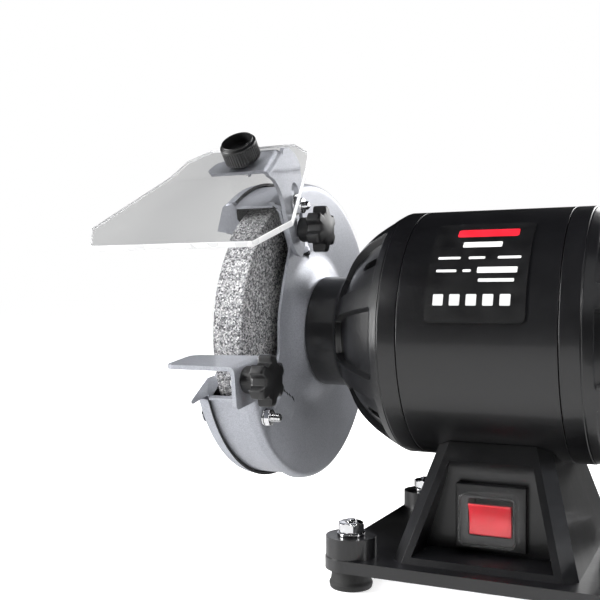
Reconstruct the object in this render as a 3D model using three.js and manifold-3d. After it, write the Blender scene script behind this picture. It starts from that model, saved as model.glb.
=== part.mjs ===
// Double-ended bench grinder, millimetres, +Z up, +X along the spindle to the right, -Y to the front.
// Everything is laid out about the middle of the spindle; the last lines set the group on its feet.
// The parts of one end are made for the right-hand end and mirrored for the left-hand one.
import * as THREE from "three";
import { mergeVertices } from "three/addons/utils/BufferGeometryUtils.js";
import { ConvexGeometry } from "three/addons/geometries/ConvexGeometry.js";
import Module from "manifold-3d";

const wasm = await Module();
wasm.setup();

// ---------- driving dimensions ----------
const gap = 0.3;                    // clearance left between neighbouring pieces
const overshoot = 1;                // how far a cutting tool runs past the face it cuts
const bigRound = 40;                // facets on the large round pieces
const bellRound = 32;
const midRound = 20;
const smallRound = 12;
const roundEnd = 4;                 // segments in each rounded end of a slot

const wheelDiameter = 150;
const wheelThickness = 17.2;
const wheelBore = 12.7;
const wheelRadius = wheelDiameter / 2;
const spindleHeight = 126;          // height of the spindle above whatever the grinder stands on

const motorRadius = 65.3;
const housingWall = 3.3;
const housingHalfLength = 38.6;
const coreHalfLength = 30;
const coreBore = motorRadius - 31.8;
const slotCount = 12;
const slotWidth = 8;
const slotInner = motorRadius - 27.3;
const slotOuter = motorRadius - 13.3;
const windingReach = 16;            // how far the end turns stand out past the core
const windingOuter = motorRadius - 9.3;
const rotorAirGap = 0.5;

const bellRimEnd = housingHalfLength + 9.9; // straight rim of the end bell stops here
const domeLength = 35;
const bellShoulder = bellRimEnd + domeLength; // dome meets the neck here
const bellWall = 5;
const bellBore = 13;                // hole round the spindle at the end of the neck
const neckRadius = 31;
const neckEnd = bellShoulder + 19.4;
const pocketCount = 8;
const pocketHalfAngle = 18;         // degrees
const pocketTurn = 4;               // degrees that the pockets sit round from the level line
const pocketDepth = 2.8;
const ventLength = 12;
const ventWidth = 5;
const ventSlope = 35;               // degrees that the dome slopes where the vents are

const bearingOuter = 35;
const bearingBore = 15;
const bearingWidth = 11;
const bearingStart = bellShoulder + 2.5;

const guardFace = neckEnd + 6.3;    // motor side of the inner pan
const wheelInnerFace = guardFace + 8.7; // distance of the wheel's inner face from the middle
const wheelOuterFace = wheelInnerFace + wheelThickness;
const coverFace = wheelOuterFace + 8.4; // outside of the outer cover

const shaftMiddleRadius = 9;
const clampFlangeRadius = 24;
const clampFlangeThickness = 3.2;
const nutAcrossFlats = 19;
const nutHeight = 7;
const shaftBeyondNut = 1.6;

const guardRadius = wheelRadius + 9;
const guardSheet = 1.5;
const guardRimDepth = 5.3;
const guardRimFlare = 1;
const guardBoss = neckRadius + 10;  // foot of the raised cone
const guardBossHole = 16;
const bandOuter = guardRadius - 1.2;
const bandSheet = 1.4;
const coverRimDepth = 7.5;
const coverDomeRadius = 55;
const coverDomeHeight = 8;
const guardOpeningTop = 126;        // degrees about the spindle, from +Y towards +Z
const guardOpeningLow = 202.5;

const throughBoltRadius = 2.4;
const throughBoltCircle = guardRadius - 5.4;
const throughBoltAngles = { low: 213, rear: 350 };
const throughBoltHeadRadius = 4.4;
const throughBoltHeadHeight = 2.6;
const smallNutAcross = 8;
const smallNutHeight = 4;

const restPivot = { y: -(wheelRadius + 21), z: -21 };
const restSlope = 8;                // degrees, back edge higher
const restSheet = 2.2;
const restFlangeInner = guardFace - 4.8; // motor side of the rest's upright flange
const restFrontReach = 9.6;
const restBackReach = 18.3;
const restTopHeight = 8.2;
const restFlangeDrop = 13;
const restOuterEdge = coverFace;
const restTravelIn = 1.8;           // towards the wheel
const restTravelOut = 12.5;
const supportSheet = 2;
const supportEndRadius = 5.2;
const carriageBoltRadius = 2.9;
const boltClearance = 0.35;
const carriageHeadRadius = 5;
const carriageHeadHeight = 2.6;

const knobHubRadius = 6.75;
const knobHubBase = restFlangeInner - 0.6;
const knobHubLength = 8;
const knobBoreDepth = 11;
const knobBoltReach = 10;           // how far a bolt goes into its knob
const knobStarRadius = 12.5;
const knobStarValley = 9.6;
const knobStarDepth = 8.8;
const knobLobes = 6;

const armInner = guardFace - 4.4;   // motor side of the shield bracket's arm
const armSheet = 2.2;
const bracketTravel = 8;
const bracketStud = { y: -0.393 * guardRadius, z: 0.667 * guardRadius };
const bracketBolt = { y: bracketStud.y - 6.2, z: bracketStud.z + 12.4 };
const bracketBoltRadius = 2.5;
const bracketSlotWidth = 6.8;
const bracketFlangeEnd = coverFace - 2;

const shieldCentre = wheelInnerFace + 3.6; // distance of the shield's centre line from the middle
const shieldSheet = 3;
const shieldCrease = { y: bracketStud.y - 41.2, z: bracketStud.z + 25.7 };
const shieldTopSlope = 41.4;
const shieldTopLength = 24.2;
const shieldMainSlope = 32.7;
const shieldMainLength = 73.9;
const shieldWidths = [[0, 24.8], [0.38, 36.3], [0.97, 39.9]]; // share of the top part, half width
const shieldWidest = 55;
const shieldFrontWidth = 41.3;
const shieldCornerLength = 18.6;

const knurlRadius = 9.7;
const knurlHeight = 11.4;
const knurlRibs = 20;
const knurlDepth = 0.45;
const knurlRecessRadius = 7.6;
const knurlRecessDepth = 6;
const knurlStudRadius = 2.4;
const weldNutAcross = 9;
const weldNutHeight = 4;

const baseShift = 2.5;              // the pedestal stands a little to the right of the middle
const footHeight = 10;
const footRadius = 11;
const footStudRadius = 3;
const footNutAcross = 12.6;
const footNutHeight = 7.7;
const slabBottom = footHeight - spindleHeight;
const slabHalfWidth = 79;
const slabHalfDepth = 73;
const slabCorner = 13;
const lugTop = slabBottom + 16;
const lugRadius = 12.7;
const lugAt = { x: 66, y: 60 };
const saddleWidth = 27.5;           // half width of the pedestal where its front meets the motor
const saddleDepth = 38.5;
const saddleDrop = Math.sqrt(motorRadius ** 2 - saddleDepth ** 2) + gap;
const sideFlare = 0.296;            // outward run per millimetre of drop, at the sides
const frontFlare = 0.446;
const pedestalChamfer = 6;
const pedestalWall = 4;
const pedestalTop = 13 - saddleDrop;
const pedestalFoot = slabBottom + 6;
const hollowTop = pedestalTop - 16;
const basePlateThickness = 1.5;

const recessTop = -9 - saddleDrop;
const recessFoot = pedestalFoot + 3;
const recessTopWidth = 20.5;        // half width
const recessFloor = 0.5 - saddleDepth;
const recessTopFall = 6.5;
const bezelTop = recessTop - 10.8;
const bezelWidth = 35;
const bezelHeight = 32;
const bezelProud = 4;
const switchBodyWidth = 28;
const switchBodyHeight = 24;
const switchBodyDepth = 22;
const rockerWidth = 20.6;
const rockerHeight = 17;
const rockerWellDepth = 11;
const rockerTilt = 9;               // degrees either side of level
const capWidth = 28;
const capHeight = 25;
const capProud = 7.5;
const capWall = 0.8;

const capacitorRadius = 14.5;
const capacitorLength = 52;
const capacitorBack = 20;           // how far behind the middle it lies
const glandDrop = slabBottom + 28;
const glandFlangeRadius = 10;
const glandFlangeThickness = 4;
const glandBodyRadius = 7;
const glandLength = 16;
const glandSleeve = 18;             // length inside the pedestal
const glandBore = 4.2;
const glandBossRadius = 11.5;
const glandBossProud = 7;
const plateHalfWidth = 24;
const plateLowAngle = 6;            // degrees above the front horizontal
const plateHighAngle = 57;
const plateThickness = 0.6;

// ---------- materials ----------
const finish = (color, roughness, metalness) => (
  new THREE.MeshStandardMaterial({ color, roughness, metalness })
);
const blackGloss = () => finish(0x101012, 0.3, 0.2);
const blackCast = () => finish(0x151517, 0.45, 0.2);
const blackPlastic = () => finish(0x1a1a1b, 0.5, 0);
const greyPaint = () => finish(0x9a9ca6, 0.45, 0.4);
const steel = () => finish(0xc4c6c9, 0.25, 1);
const abrasive = () => finish(0x8f9090, 0.95, 0);
const iron = () => finish(0x6b6c70, 0.5, 0.8);
const copper = () => finish(0xa6602f, 0.4, 0.8);
const clearPlastic = () => new THREE.MeshStandardMaterial({
  color: 0xe8eef2, roughness: 0.08, metalness: 0, transparent: true, opacity: 0.35,
});
const redPlastic = () => finish(0xd21f2b, 0.3, 0);
const rubber = () => finish(0x202021, 0.85, 0);

// ---------- shape helpers ----------
const radians = THREE.MathUtils.degToRad;
const onCircle = (radius, degrees) => [
  radius * Math.cos(radians(degrees)),
  radius * Math.sin(radians(degrees)),
];

// Merges shared corners, drops flat triangles and turns the faces outwards.
function toSolid(geometry) {
  const bare = new THREE.BufferGeometry();
  bare.setAttribute("position", geometry.attributes.position.clone());
  if (geometry.index) bare.setIndex(geometry.index.clone());
  const merged = mergeVertices(bare, 1e-4);
  const points = merged.attributes.position.array;
  const faces = [];
  let volume = 0;
  for (let i = 0; i < merged.index.count; i += 3) {
    const [a, b, c] = [0, 1, 2].map((k) => merged.index.array[i + k]);
    if (a === b || b === c || c === a) continue;
    faces.push(a, b, c);
    const [p, q, r] = [a, b, c].map((k) => new THREE.Vector3().fromArray(points, 3 * k));
    volume += p.dot(q.cross(r));
  }
  if (volume < 0) faces.reverse();
  const mesh = new wasm.Mesh({
    numProp: 3,
    vertProperties: Float32Array.from(points),
    triVerts: Uint32Array.from(faces),
  });
  return new wasm.Manifold(mesh);
}

function toGeometry(solid) {
  const mesh = solid.getMesh();
  const geometry = new THREE.BufferGeometry();
  geometry.setAttribute("position", new THREE.BufferAttribute(mesh.vertProperties, 3));
  geometry.setIndex(new THREE.BufferAttribute(mesh.triVerts, 1));
  geometry.computeVertexNormals();
  return geometry;
}

const outline = (points) => new THREE.Shape(points.map(([a, b]) => new THREE.Vector2(a, b)));

// Extrudes a shape along one axis: on x the shape is drawn in Y-Z, on y in X-Z and on z in X-Y.
function prism(shape, axis, from, to) {
  const settings = { depth: to - from, bevelEnabled: false, curveSegments: roundEnd };
  const geometry = new THREE.ExtrudeGeometry(shape, settings);
  geometry.translate(0, 0, from);
  const frames = {
    x: [[0, 1, 0], [0, 0, 1], [1, 0, 0]],
    y: [[1, 0, 0], [0, 0, 1], [0, 1, 0]],
    z: [[1, 0, 0], [0, 1, 0], [0, 0, 1]],
  };
  const [a, b, c] = frames[axis].map((v) => new THREE.Vector3(...v));
  geometry.applyMatrix4(new THREE.Matrix4().makeBasis(a, b, c));
  return toSolid(geometry);
}

function block(x0, x1, y0, y1, z0, z1) {
  const geometry = new THREE.BoxGeometry(x1 - x0, y1 - y0, z1 - z0);
  geometry.translate((x0 + x1) / 2, (y0 + y1) / 2, (z0 + z1) / 2);
  return toSolid(geometry);
}

// Turns a closed profile of [x, radius] points about the spindle line.
function turned(profile, segments) {
  const points = [...profile, profile[0]].map(([x, r]) => new THREE.Vector2(r, x));
  return toSolid(new THREE.LatheGeometry(points, segments).rotateZ(-Math.PI / 2));
}

// A plain round bar along X through the point (y, z).
function bar(x0, x1, radius, y = 0, z = 0, segments = smallRound) {
  const geometry = new THREE.CylinderGeometry(radius, radius, x1 - x0, segments);
  geometry.rotateZ(Math.PI / 2).translate((x0 + x1) / 2, y, z);
  return toSolid(geometry);
}

function hexBar(x0, x1, acrossFlats, y, z) {
  return bar(x0, x1, acrossFlats / Math.sqrt(3), y, z, 6);
}

// A round post along Z.
function post(x, y, z0, z1, radius, segments = smallRound) {
  const geometry = new THREE.CylinderGeometry(radius, radius, z1 - z0, segments);
  geometry.rotateX(Math.PI / 2).translate(x, y, (z0 + z1) / 2);
  return toSolid(geometry);
}

// A slot outline between two centres, as a shape in the plane of the two coordinates.
function slotShape(a, b, width) {
  const angle = Math.atan2(b[1] - a[1], b[0] - a[0]);
  const points = [];
  for (const [centre, start] of [[b, angle - Math.PI / 2], [a, angle + Math.PI / 2]]) {
    for (let i = 0; i <= roundEnd; i++) {
      const t = start + (Math.PI * i) / roundEnd;
      points.push([centre[0] + (width / 2) * Math.cos(t), centre[1] + (width / 2) * Math.sin(t)]);
    }
  }
  return outline(points);
}

// A rounded rectangle centred on the origin.
function roundedRectangle(halfWidth, halfHeight, radius) {
  const shape = new THREE.Shape();
  shape.moveTo(-halfWidth + radius, -halfHeight);
  shape.absarc(halfWidth - radius, -halfHeight + radius, radius, -Math.PI / 2, 0);
  shape.absarc(halfWidth - radius, halfHeight - radius, radius, 0, Math.PI / 2);
  shape.absarc(-halfWidth + radius, halfHeight - radius, radius, Math.PI / 2, Math.PI);
  shape.absarc(-halfWidth + radius, -halfHeight + radius, radius, Math.PI, 1.5 * Math.PI);
  return shape;
}

function turnAboutX(solid, degrees, y, z) {
  const geometry = toGeometry(solid);
  geometry.translate(0, -y, -z).rotateX(radians(degrees)).translate(0, y, z);
  return toSolid(geometry);
}

function moved(solid, x, y, z) {
  return toSolid(toGeometry(solid).translate(x, y, z));
}

const union = (solids) => solids.reduce((a, b) => a.add(b));
const cutAll = (solid, tools) => tools.reduce((a, b) => a.subtract(b), solid);

// ---------- motor ----------
const housingInner = motorRadius - housingWall;

function statorHousing() {
  const half = housingHalfLength - gap / 2;
  return turned([
    [-half, housingInner],
    [-half, motorRadius],
    [half, motorRadius],
    [half, housingInner],
  ], bigRound);
}

// Radial bars evenly spread round the spindle, from the inner to the outer radius.
function radialBars(count, inner, outer, width, halfLength) {
  const bars = [];
  for (let i = 0; i < count; i++) {
    const straight = block(-halfLength, halfLength, inner, outer, -width / 2, width / 2);
    bars.push(turnAboutX(straight, (360 * (i + 0.5)) / count, 0, 0));
  }
  return bars;
}

function statorCore() {
  const half = coreHalfLength;
  const outer = housingInner - gap;
  const ring = turned([[-half, coreBore], [-half, outer], [half, outer], [half, coreBore]], bigRound);
  return cutAll(ring, radialBars(slotCount, slotInner, slotOuter, slotWidth, half + overshoot));
}

function statorWinding() {
  const near = coreHalfLength + gap;
  const far = coreHalfLength + windingReach;
  const crown = 3;
  const inner = slotInner + 1;
  const rings = [-1, 1].map((side) => turned([
    [side * near, inner],
    [side * near, windingOuter - crown],
    [side * (near + crown), windingOuter],
    [side * (far - crown), windingOuter],
    [side * far, windingOuter - crown],
    [side * far, inner + crown],
    [side * (far - crown), inner],
  ], midRound));
  const reach = near + crown;
  const bars = radialBars(slotCount, slotInner + 2, slotOuter - gap, slotWidth - 2 * gap, reach);
  return union([...rings, ...bars]);
}

// The dome's stations: share of its length, and share of the drop from the rim to the neck still left.
const domeShares = [[0, 1], [0.211, 0.892], [0.511, 0.711], [0.791, 0.455], [1, 0.102]];
const domeProfile = domeShares.map(([run, left]) => [
  bellRimEnd + run * domeLength,
  neckRadius + left * (motorRadius - neckRadius),
]);

// The shallow pockets cast into the dome, as one cutter.
function bellPockets() {
  const floor = domeProfile.slice(1).map(([x, r]) => [x - 0.6 * pocketDepth, r - pocketDepth]);
  const [floorStart] = floor[0];
  const skin = turned([
    ...floor,
    [bellShoulder - 0.6 * pocketDepth, motorRadius + overshoot],
    [floorStart, motorRadius + overshoot],
  ], bellRound);
  const near = 10;
  const far = motorRadius + 20;
  const wedges = [];
  for (let i = 0; i < pocketCount; i++) {
    const middle = pocketTurn + (360 * i) / pocketCount;
    const corners = [
      onCircle(near, middle),
      onCircle(far, middle - pocketHalfAngle),
      onCircle(far, middle + pocketHalfAngle),
    ];
    wedges.push(prism(outline(corners), "x", housingHalfLength, bellShoulder + overshoot));
  }
  return skin.intersect(union(wedges));
}

// One air slot through every second pocket.
function bellVents() {
  const halfSpan = (ventLength - ventWidth) / 2;
  const slot = slotShape([-halfSpan, 0], [halfSpan, 0], ventWidth);
  const vents = [];
  for (let i = 1; i < pocketCount; i += 2) {
    const cutter = toGeometry(prism(slot, "y", -8, 8)).rotateZ(radians(-ventSlope));
    cutter.translate(bellRimEnd + 12.5, motorRadius - 7.9, 0);
    vents.push(toSolid(cutter.rotateX(radians(pocketTurn + (360 * i) / pocketCount))));
  }
  return vents;
}

function endBell() {
  const seatWall = 2.4;
  const seatStart = bearingStart - 2;
  const seatEnd = bearingStart + bearingWidth + gap;
  const seat = bearingOuter / 2 + gap;
  const rimStart = housingHalfLength + gap / 2;
  const inside = domeProfile.filter((_, i) => i !== 2).map(([x, r]) => [x - bellWall / 2, r - bellWall]);
  const body = turned([
    [rimStart, motorRadius],
    ...domeProfile,
    [bellShoulder + 1.5, neckRadius],
    [neckEnd, neckRadius],
    [neckEnd, bellBore],
    [seatEnd, bellBore],
    [seatEnd, seat],
    [seatStart, seat],
    [seatStart, seat + seatWall],
    ...inside.reverse(),
    [rimStart, motorRadius - bellWall],
  ], bellRound);
  return cutAll(body, [bellPockets(), ...bellVents()]);
}

function bearing() {
  const inner = bearingBore / 2;
  const outer = bearingOuter / 2;
  const end = bearingStart + bearingWidth;
  const groove = 1;
  const race = 2.5;
  return turned([
    [bearingStart, inner],
    [bearingStart, outer],
    [end, outer],
    [end, outer - race],
    [end - groove, outer - race],
    [end - groove, inner + race],
    [end, inner + race],
    [end, inner],
  ], midRound);
}

function ratingPlate() {
  const inner = motorRadius + gap;
  const outer = inner + plateThickness;
  const steps = 12;
  const arc = (radius, from, to) => Array.from({ length: steps + 1 }, (_, i) => (
    onCircle(radius, 180 - from - ((to - from) * i) / steps)
  ));
  const points = [...arc(inner, plateLowAngle, plateHighAngle), ...arc(outer, plateHighAngle, plateLowAngle)];
  return prism(outline(points), "x", -plateHalfWidth, plateHalfWidth);
}

// ---------- spindle ----------
const seatRadius = wheelBore / 2 - gap;
const journalRadius = bearingBore / 2 - gap;
const innerFlangeStart = wheelInnerFace - gap - clampFlangeThickness;
const outerFlangeEnd = wheelOuterFace + gap + clampFlangeThickness;
const shaftHalfLength = outerFlangeEnd + gap + nutHeight + shaftBeyondNut;

function spindleShaft() {
  const shoulder = innerFlangeStart - gap;
  const journalStart = bearingStart - 4;
  const chamfer = 1;
  const half = [
    [journalStart, shaftMiddleRadius],
    [journalStart, journalRadius],
    [shoulder, journalRadius],
    [shoulder, seatRadius],
    [shaftHalfLength - chamfer, seatRadius],
    [shaftHalfLength, seatRadius - chamfer],
    [shaftHalfLength, 0],
  ];
  const other = half.map(([x, r]) => [-x, r]).reverse();
  return turned([...other, ...half], midRound);
}

function rotor() {
  const bore = shaftMiddleRadius + gap;
  const outer = coreBore - rotorAirGap;
  const ringEnd = coreHalfLength + 4;
  const ringInner = outer - 8;
  const ringOuter = outer - 2;
  return turned([
    [-coreHalfLength, bore],
    [-ringEnd, ringInner],
    [-ringEnd, ringOuter],
    [-coreHalfLength, outer],
    [coreHalfLength, outer],
    [ringEnd, ringOuter],
    [ringEnd, ringInner],
    [coreHalfLength, bore],
  ], midRound);
}

// A pressed washer, dished so that only its rim bears on the wheel.
function clampFlange(wheelSide, awaySide) {
  const bore = wheelBore / 2;
  const step = (wheelSide - awaySide) * 0.35;
  return turned([
    [awaySide, bore],
    [awaySide, clampFlangeRadius - 2],
    [awaySide + step, clampFlangeRadius],
    [wheelSide, clampFlangeRadius],
    [wheelSide, clampFlangeRadius - 6],
    [wheelSide - step, clampFlangeRadius - 7],
    [wheelSide - step, bore],
  ], midRound);
}

function grindingWheel() {
  const bore = wheelBore / 2;
  return turned([
    [wheelInnerFace, bore],
    [wheelInnerFace, wheelRadius],
    [wheelOuterFace, wheelRadius],
    [wheelOuterFace, bore],
  ], bigRound);
}

function spindleNut() {
  const start = outerFlangeEnd + gap;
  const nut = hexBar(start, start + nutHeight, nutAcrossFlats, 0, 0);
  return nut.subtract(bar(start - overshoot, start + nutHeight + overshoot, wheelBore / 2));
}

// ---------- wheel guard ----------
// A point given as shares of the guard's radius, in Y-Z.
const ofGuard = (y, z) => [y * guardRadius, z * guardRadius];
const cutLip = ofGuard(-0.507, 0.333);
const cutMiddle = ofGuard(-0.579, -0.032);
const panCut = { top: ofGuard(-0.42, 0.542), low: ofGuard(-0.583, -0.171) };
const coverCut = { top: ofGuard(-0.468, 0.662), low: ofGuard(-0.717, -0.315) };

// The front of the guard that is left open, drawn in Y-Z.
function frontOpening(corners) {
  const reach = guardRadius * 2;
  const shape = new THREE.Shape();
  const [topY, topZ] = onCircle(guardRadius, guardOpeningTop);
  const [lowY, lowZ] = onCircle(guardRadius, guardOpeningLow);
  shape.moveTo(topY - 2, topZ + 2.4);
  shape.lineTo(...corners.top);
  shape.lineTo(...cutLip);
  shape.quadraticCurveTo(cutMiddle[0], cutMiddle[1] + 12, ...cutMiddle);
  shape.lineTo(...corners.low);
  shape.lineTo(lowY, lowZ);
  shape.lineTo(-reach, lowZ * 1.3);
  shape.lineTo(-reach, topZ * 1.6);
  shape.lineTo(topY * 1.5, topZ * 1.6);
  return shape;
}

const throughBoltPlace = (which) => onCircle(throughBoltCircle, throughBoltAngles[which]);

// Pressed stiffening pads that stand out on the motor side of the pan.
function panPads() {
  const low = [ofGuard(-0.63, -0.32), ofGuard(-0.38, -0.43), ofGuard(-0.4, -0.56), ofGuard(-0.67, -0.475)];
  const high = [ofGuard(-0.293, 0.524), ofGuard(-0.167, 0.595), ofGuard(-0.143, 0.5)];
  const middle = guardFace + guardSheet / 2;
  return [
    prism(outline(low), "x", guardFace - 1.8, middle),
    prism(outline(high), "x", guardFace - 2.5, middle),
  ];
}

// A clearance hole through the pan or the cover.
function sheetHole(face, radius, y, z) {
  return bar(face - 5, face + 5, radius + boltClearance, y, z);
}

function guardPan() {
  const inside = guardFace + guardSheet;
  const rimEnd = guardFace + guardRimDepth;
  const rim = guardRadius + guardRimFlare;
  const neckFace = neckEnd + gap;
  const coneSet = 0.6;
  const pan = turned([
    [neckFace, guardBossHole],
    [neckFace, neckRadius],
    [guardFace, guardBoss],
    [guardFace, guardRadius],
    [rimEnd, rim],
    [rimEnd, rim - guardSheet],
    [inside, guardRadius - guardSheet],
    [inside, guardBoss - coneSet],
    [neckFace + guardSheet, neckRadius - coneSet],
    [neckFace + guardSheet, guardBossHole],
  ], bigRound);
  const holes = [
    sheetHole(guardFace, throughBoltRadius, ...throughBoltPlace("low")),
    sheetHole(guardFace, throughBoltRadius, ...throughBoltPlace("rear")),
    sheetHole(guardFace, bracketBoltRadius, bracketBolt.y, bracketBolt.z),
    sheetHole(guardFace, carriageBoltRadius, bracketStud.y, bracketStud.z),
  ];
  const opening = prism(frontOpening(panCut), "x", guardFace - 10, rimEnd + 10);
  return cutAll(union([pan, ...panPads()]), [opening, ...holes]);
}

// The rolled strip that joins the pan to the cover, with its lower front end turned outwards.
function guardBand() {
  const start = guardFace + guardRimDepth - 1;
  const end = coverFace - coverRimDepth + 2.6;
  const inner = bandOuter - bandSheet;
  const ring = turned([[start, inner], [start, bandOuter], [end, bandOuter], [end, inner]], bigRound);
  const [topY, topZ] = onCircle(bandOuter + 3, guardOpeningTop);
  const [lowY, lowZ] = onCircle(bandOuter + 3, guardOpeningLow);
  const far = -2 * guardRadius;
  const front = outline([[0, 0], [topY, topZ], [far, topZ], [far, lowZ], [lowY, lowZ]]);
  const [lipY, lipZ] = onCircle(bandOuter + 3.2, guardOpeningLow + 0.6);
  const lip = outline([
    onCircle(inner, guardOpeningLow + 1.2),
    onCircle(inner, guardOpeningLow),
    [lipY, lipZ + 1],
    [lipY - 0.3, lipZ - 0.6],
    onCircle(bandOuter - 0.2, guardOpeningLow + 1.2),
  ]);
  const lipSpan = [guardFace + guardRimDepth + 2, coverFace - coverRimDepth - 1];
  return ring.subtract(prism(front, "x", start - 5, end + 5)).add(prism(lip, "x", ...lipSpan));
}

function outerCover() {
  const inside = coverFace - guardSheet;
  const rimEnd = coverFace - coverRimDepth;
  const rim = guardRadius + guardRimFlare;
  const domeTop = coverFace + coverDomeHeight;
  const domeFlat = coverDomeRadius - 10;
  const coneSet = 0.6;
  const cover = turned([
    [domeTop, 0],
    [domeTop, domeFlat],
    [coverFace, coverDomeRadius],
    [coverFace, guardRadius],
    [rimEnd, rim],
    [rimEnd, rim - guardSheet],
    [inside, guardRadius - guardSheet],
    [inside, coverDomeRadius - coneSet],
    [domeTop - guardSheet, domeFlat - coneSet],
    [domeTop - guardSheet, 0],
  ], bigRound);
  const opening = prism(frontOpening(coverCut), "x", rimEnd - 10, domeTop + 10);
  const holes = ["low", "rear"].map((which) => (
    sheetHole(coverFace, throughBoltRadius, ...throughBoltPlace(which))
  ));
  return cutAll(cover, [opening, ...holes]);
}

// Long screw from the cover to the pan, with its nut on the motor side.
function coverBolt(which) {
  const [y, z] = throughBoltPlace(which);
  const nutEnd = guardFace - gap;
  const headStart = coverFace + gap;
  return union([
    bar(nutEnd - smallNutHeight - 5, headStart + overshoot, throughBoltRadius, y, z),
    bar(headStart, headStart + throughBoltHeadHeight, throughBoltHeadRadius, y, z),
    hexBar(nutEnd - smallNutHeight, nutEnd, smallNutAcross, y, z),
  ]);
}

// ---------- tool rest ----------
const supportInner = restFlangeInner + restSheet + gap;

function restSupport() {
  const { y, z } = restPivot;
  const slope = Math.tan(radians(restSlope));
  // The top edge runs just under the rest, to where the arm turns up against the guard.
  const underRest = (run) => [y + run, z + run * slope + restTopHeight - restSheet - 2 * gap - 1.4];
  const guardSide = [[21.6, 10.8], [31.6, 10.8], [36, 6.6], [41, -9], [39, -19], [30, -14], [20, -6.5]];
  const arm = prism(outline([
    [y, z + supportEndRadius - 0.1],
    underRest(10),
    underRest(19.5),
    ...guardSide.map(([run, rise]) => [y + run, z + rise]),
    [y + 2, z - supportEndRadius + 0.3],
  ]), "x", supportInner, supportInner + supportSheet);
  const head = bar(supportInner, supportInner + supportSheet, supportEndRadius, y, z, midRound);
  const hole = sheetHole(supportInner, carriageBoltRadius, y, z);
  const roundBolt = sheetHole(supportInner, throughBoltRadius + 3, ...throughBoltPlace("low"));
  return cutAll(head.add(arm), [hole, roundBolt]);
}

// Bolt with a low round head that a knob pulls up against the sheet.
function carriageBolt(headStart, y, z) {
  return union([
    bar(knobHubBase - knobBoltReach, headStart + overshoot, carriageBoltRadius, y, z),
    bar(headStart, headStart + carriageHeadHeight, carriageHeadRadius, y, z),
  ]);
}

function toolRest() {
  const { y, z } = restPivot;
  const top = z + restTopHeight;
  const front = y - restFrontReach;
  const back = y + restBackReach;
  const taper = 3;
  const corner = 4;
  const plate = new THREE.Shape();
  plate.moveTo(restFlangeInner, front);
  plate.lineTo(restOuterEdge - corner, front);
  plate.quadraticCurveTo(restOuterEdge, front, restOuterEdge, front + corner);
  plate.lineTo(restOuterEdge - taper / 2, back - corner);
  plate.quadraticCurveTo(restOuterEdge - taper, back, restOuterEdge - taper - corner, back);
  plate.lineTo(restFlangeInner, back);
  const low = z - restFlangeDrop;
  const flange = prism(outline([
    [front, top],
    [back, top],
    [back, low + 4],
    [back - 2, low + 1],
    [front + 2.6, low],
    [front + 1, low + 1],
  ]), "x", restFlangeInner, restFlangeInner + restSheet);
  const restSlot = slotShape(
    [y - restTravelIn, z], [y + restTravelOut, z], 2 * (carriageBoltRadius + boltClearance),
  );
  const slot = prism(restSlot, "x", restFlangeInner - 5, restFlangeInner + 5);
  const level = prism(plate, "z", top - restSheet, top).add(flange).subtract(slot);
  return turnAboutX(level, restSlope, y, z);
}

// Six-lobed star knob with a collar and a blind bore for the bolt's end.
function starKnob({ y, z }) {
  const hubEnd = knobHubBase - knobHubLength;
  const face = hubEnd - knobStarDepth;
  const lobe = [
    [knobStarValley, -24],
    [knobStarRadius - 0.6, -15],
    [knobStarRadius, -9],
    [knobStarRadius, 9],
    [knobStarRadius - 0.6, 15],
    [knobStarValley, 24],
  ];
  const points = [];
  for (let i = 0; i < knobLobes; i++) {
    const middle = 90 + (360 * i) / knobLobes;
    points.push(...lobe.map(([radius, degrees]) => onCircle(radius, middle + degrees)));
  }
  const star = prism(outline(points), "x", face + 1, hubEnd);
  const hub = turned([
    [face, 0],
    [face, 6],
    [face + 1.2, knobStarValley],
    [hubEnd, knobStarValley],
    [hubEnd + 1.6, knobHubRadius + 0.6],
    [hubEnd + 1.8, knobHubRadius - 0.4],
    [knobHubBase - 1, knobHubRadius],
    [knobHubBase, knobHubRadius - 0.8],
    [knobHubBase, 0],
  ], smallRound);
  const bore = bar(knobHubBase - knobBoreDepth, knobHubBase + overshoot, carriageBoltRadius + gap);
  return moved(hub.add(star).subtract(bore), 0, y, z);
}

// ---------- eye shield and its bracket ----------
const shieldFrame = (slope) => {
  const [along, up] = onCircle(1, slope);
  return { along, up };
};
const topFrame = shieldFrame(shieldTopSlope);
const mainFrame = shieldFrame(shieldMainSlope);

// A point of the upper part: distance up the slope from the crease, and offset off the sheet's middle.
function onTop(distance, offset) {
  return [
    shieldCrease.y + distance * topFrame.along - offset * topFrame.up,
    shieldCrease.z + distance * topFrame.up + offset * topFrame.along,
  ];
}

function onMain(distance, offset) {
  return [
    shieldCrease.y - distance * mainFrame.along - offset * mainFrame.up,
    shieldCrease.z - distance * mainFrame.up + offset * mainFrame.along,
  ];
}

const flangeTop = -shieldSheet / 2 - gap;
const flangeBottom = flangeTop - armSheet;
const knobSeat = shieldTopLength / 2;

// Turns something built along +Z at the origin to stand square on the upper part of the shield.
function standOnTop(solid, x, distance, offset) {
  const [y, z] = onTop(distance, offset);
  return toSolid(toGeometry(solid).rotateX(radians(shieldTopSlope)).translate(x, y, z));
}

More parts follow.
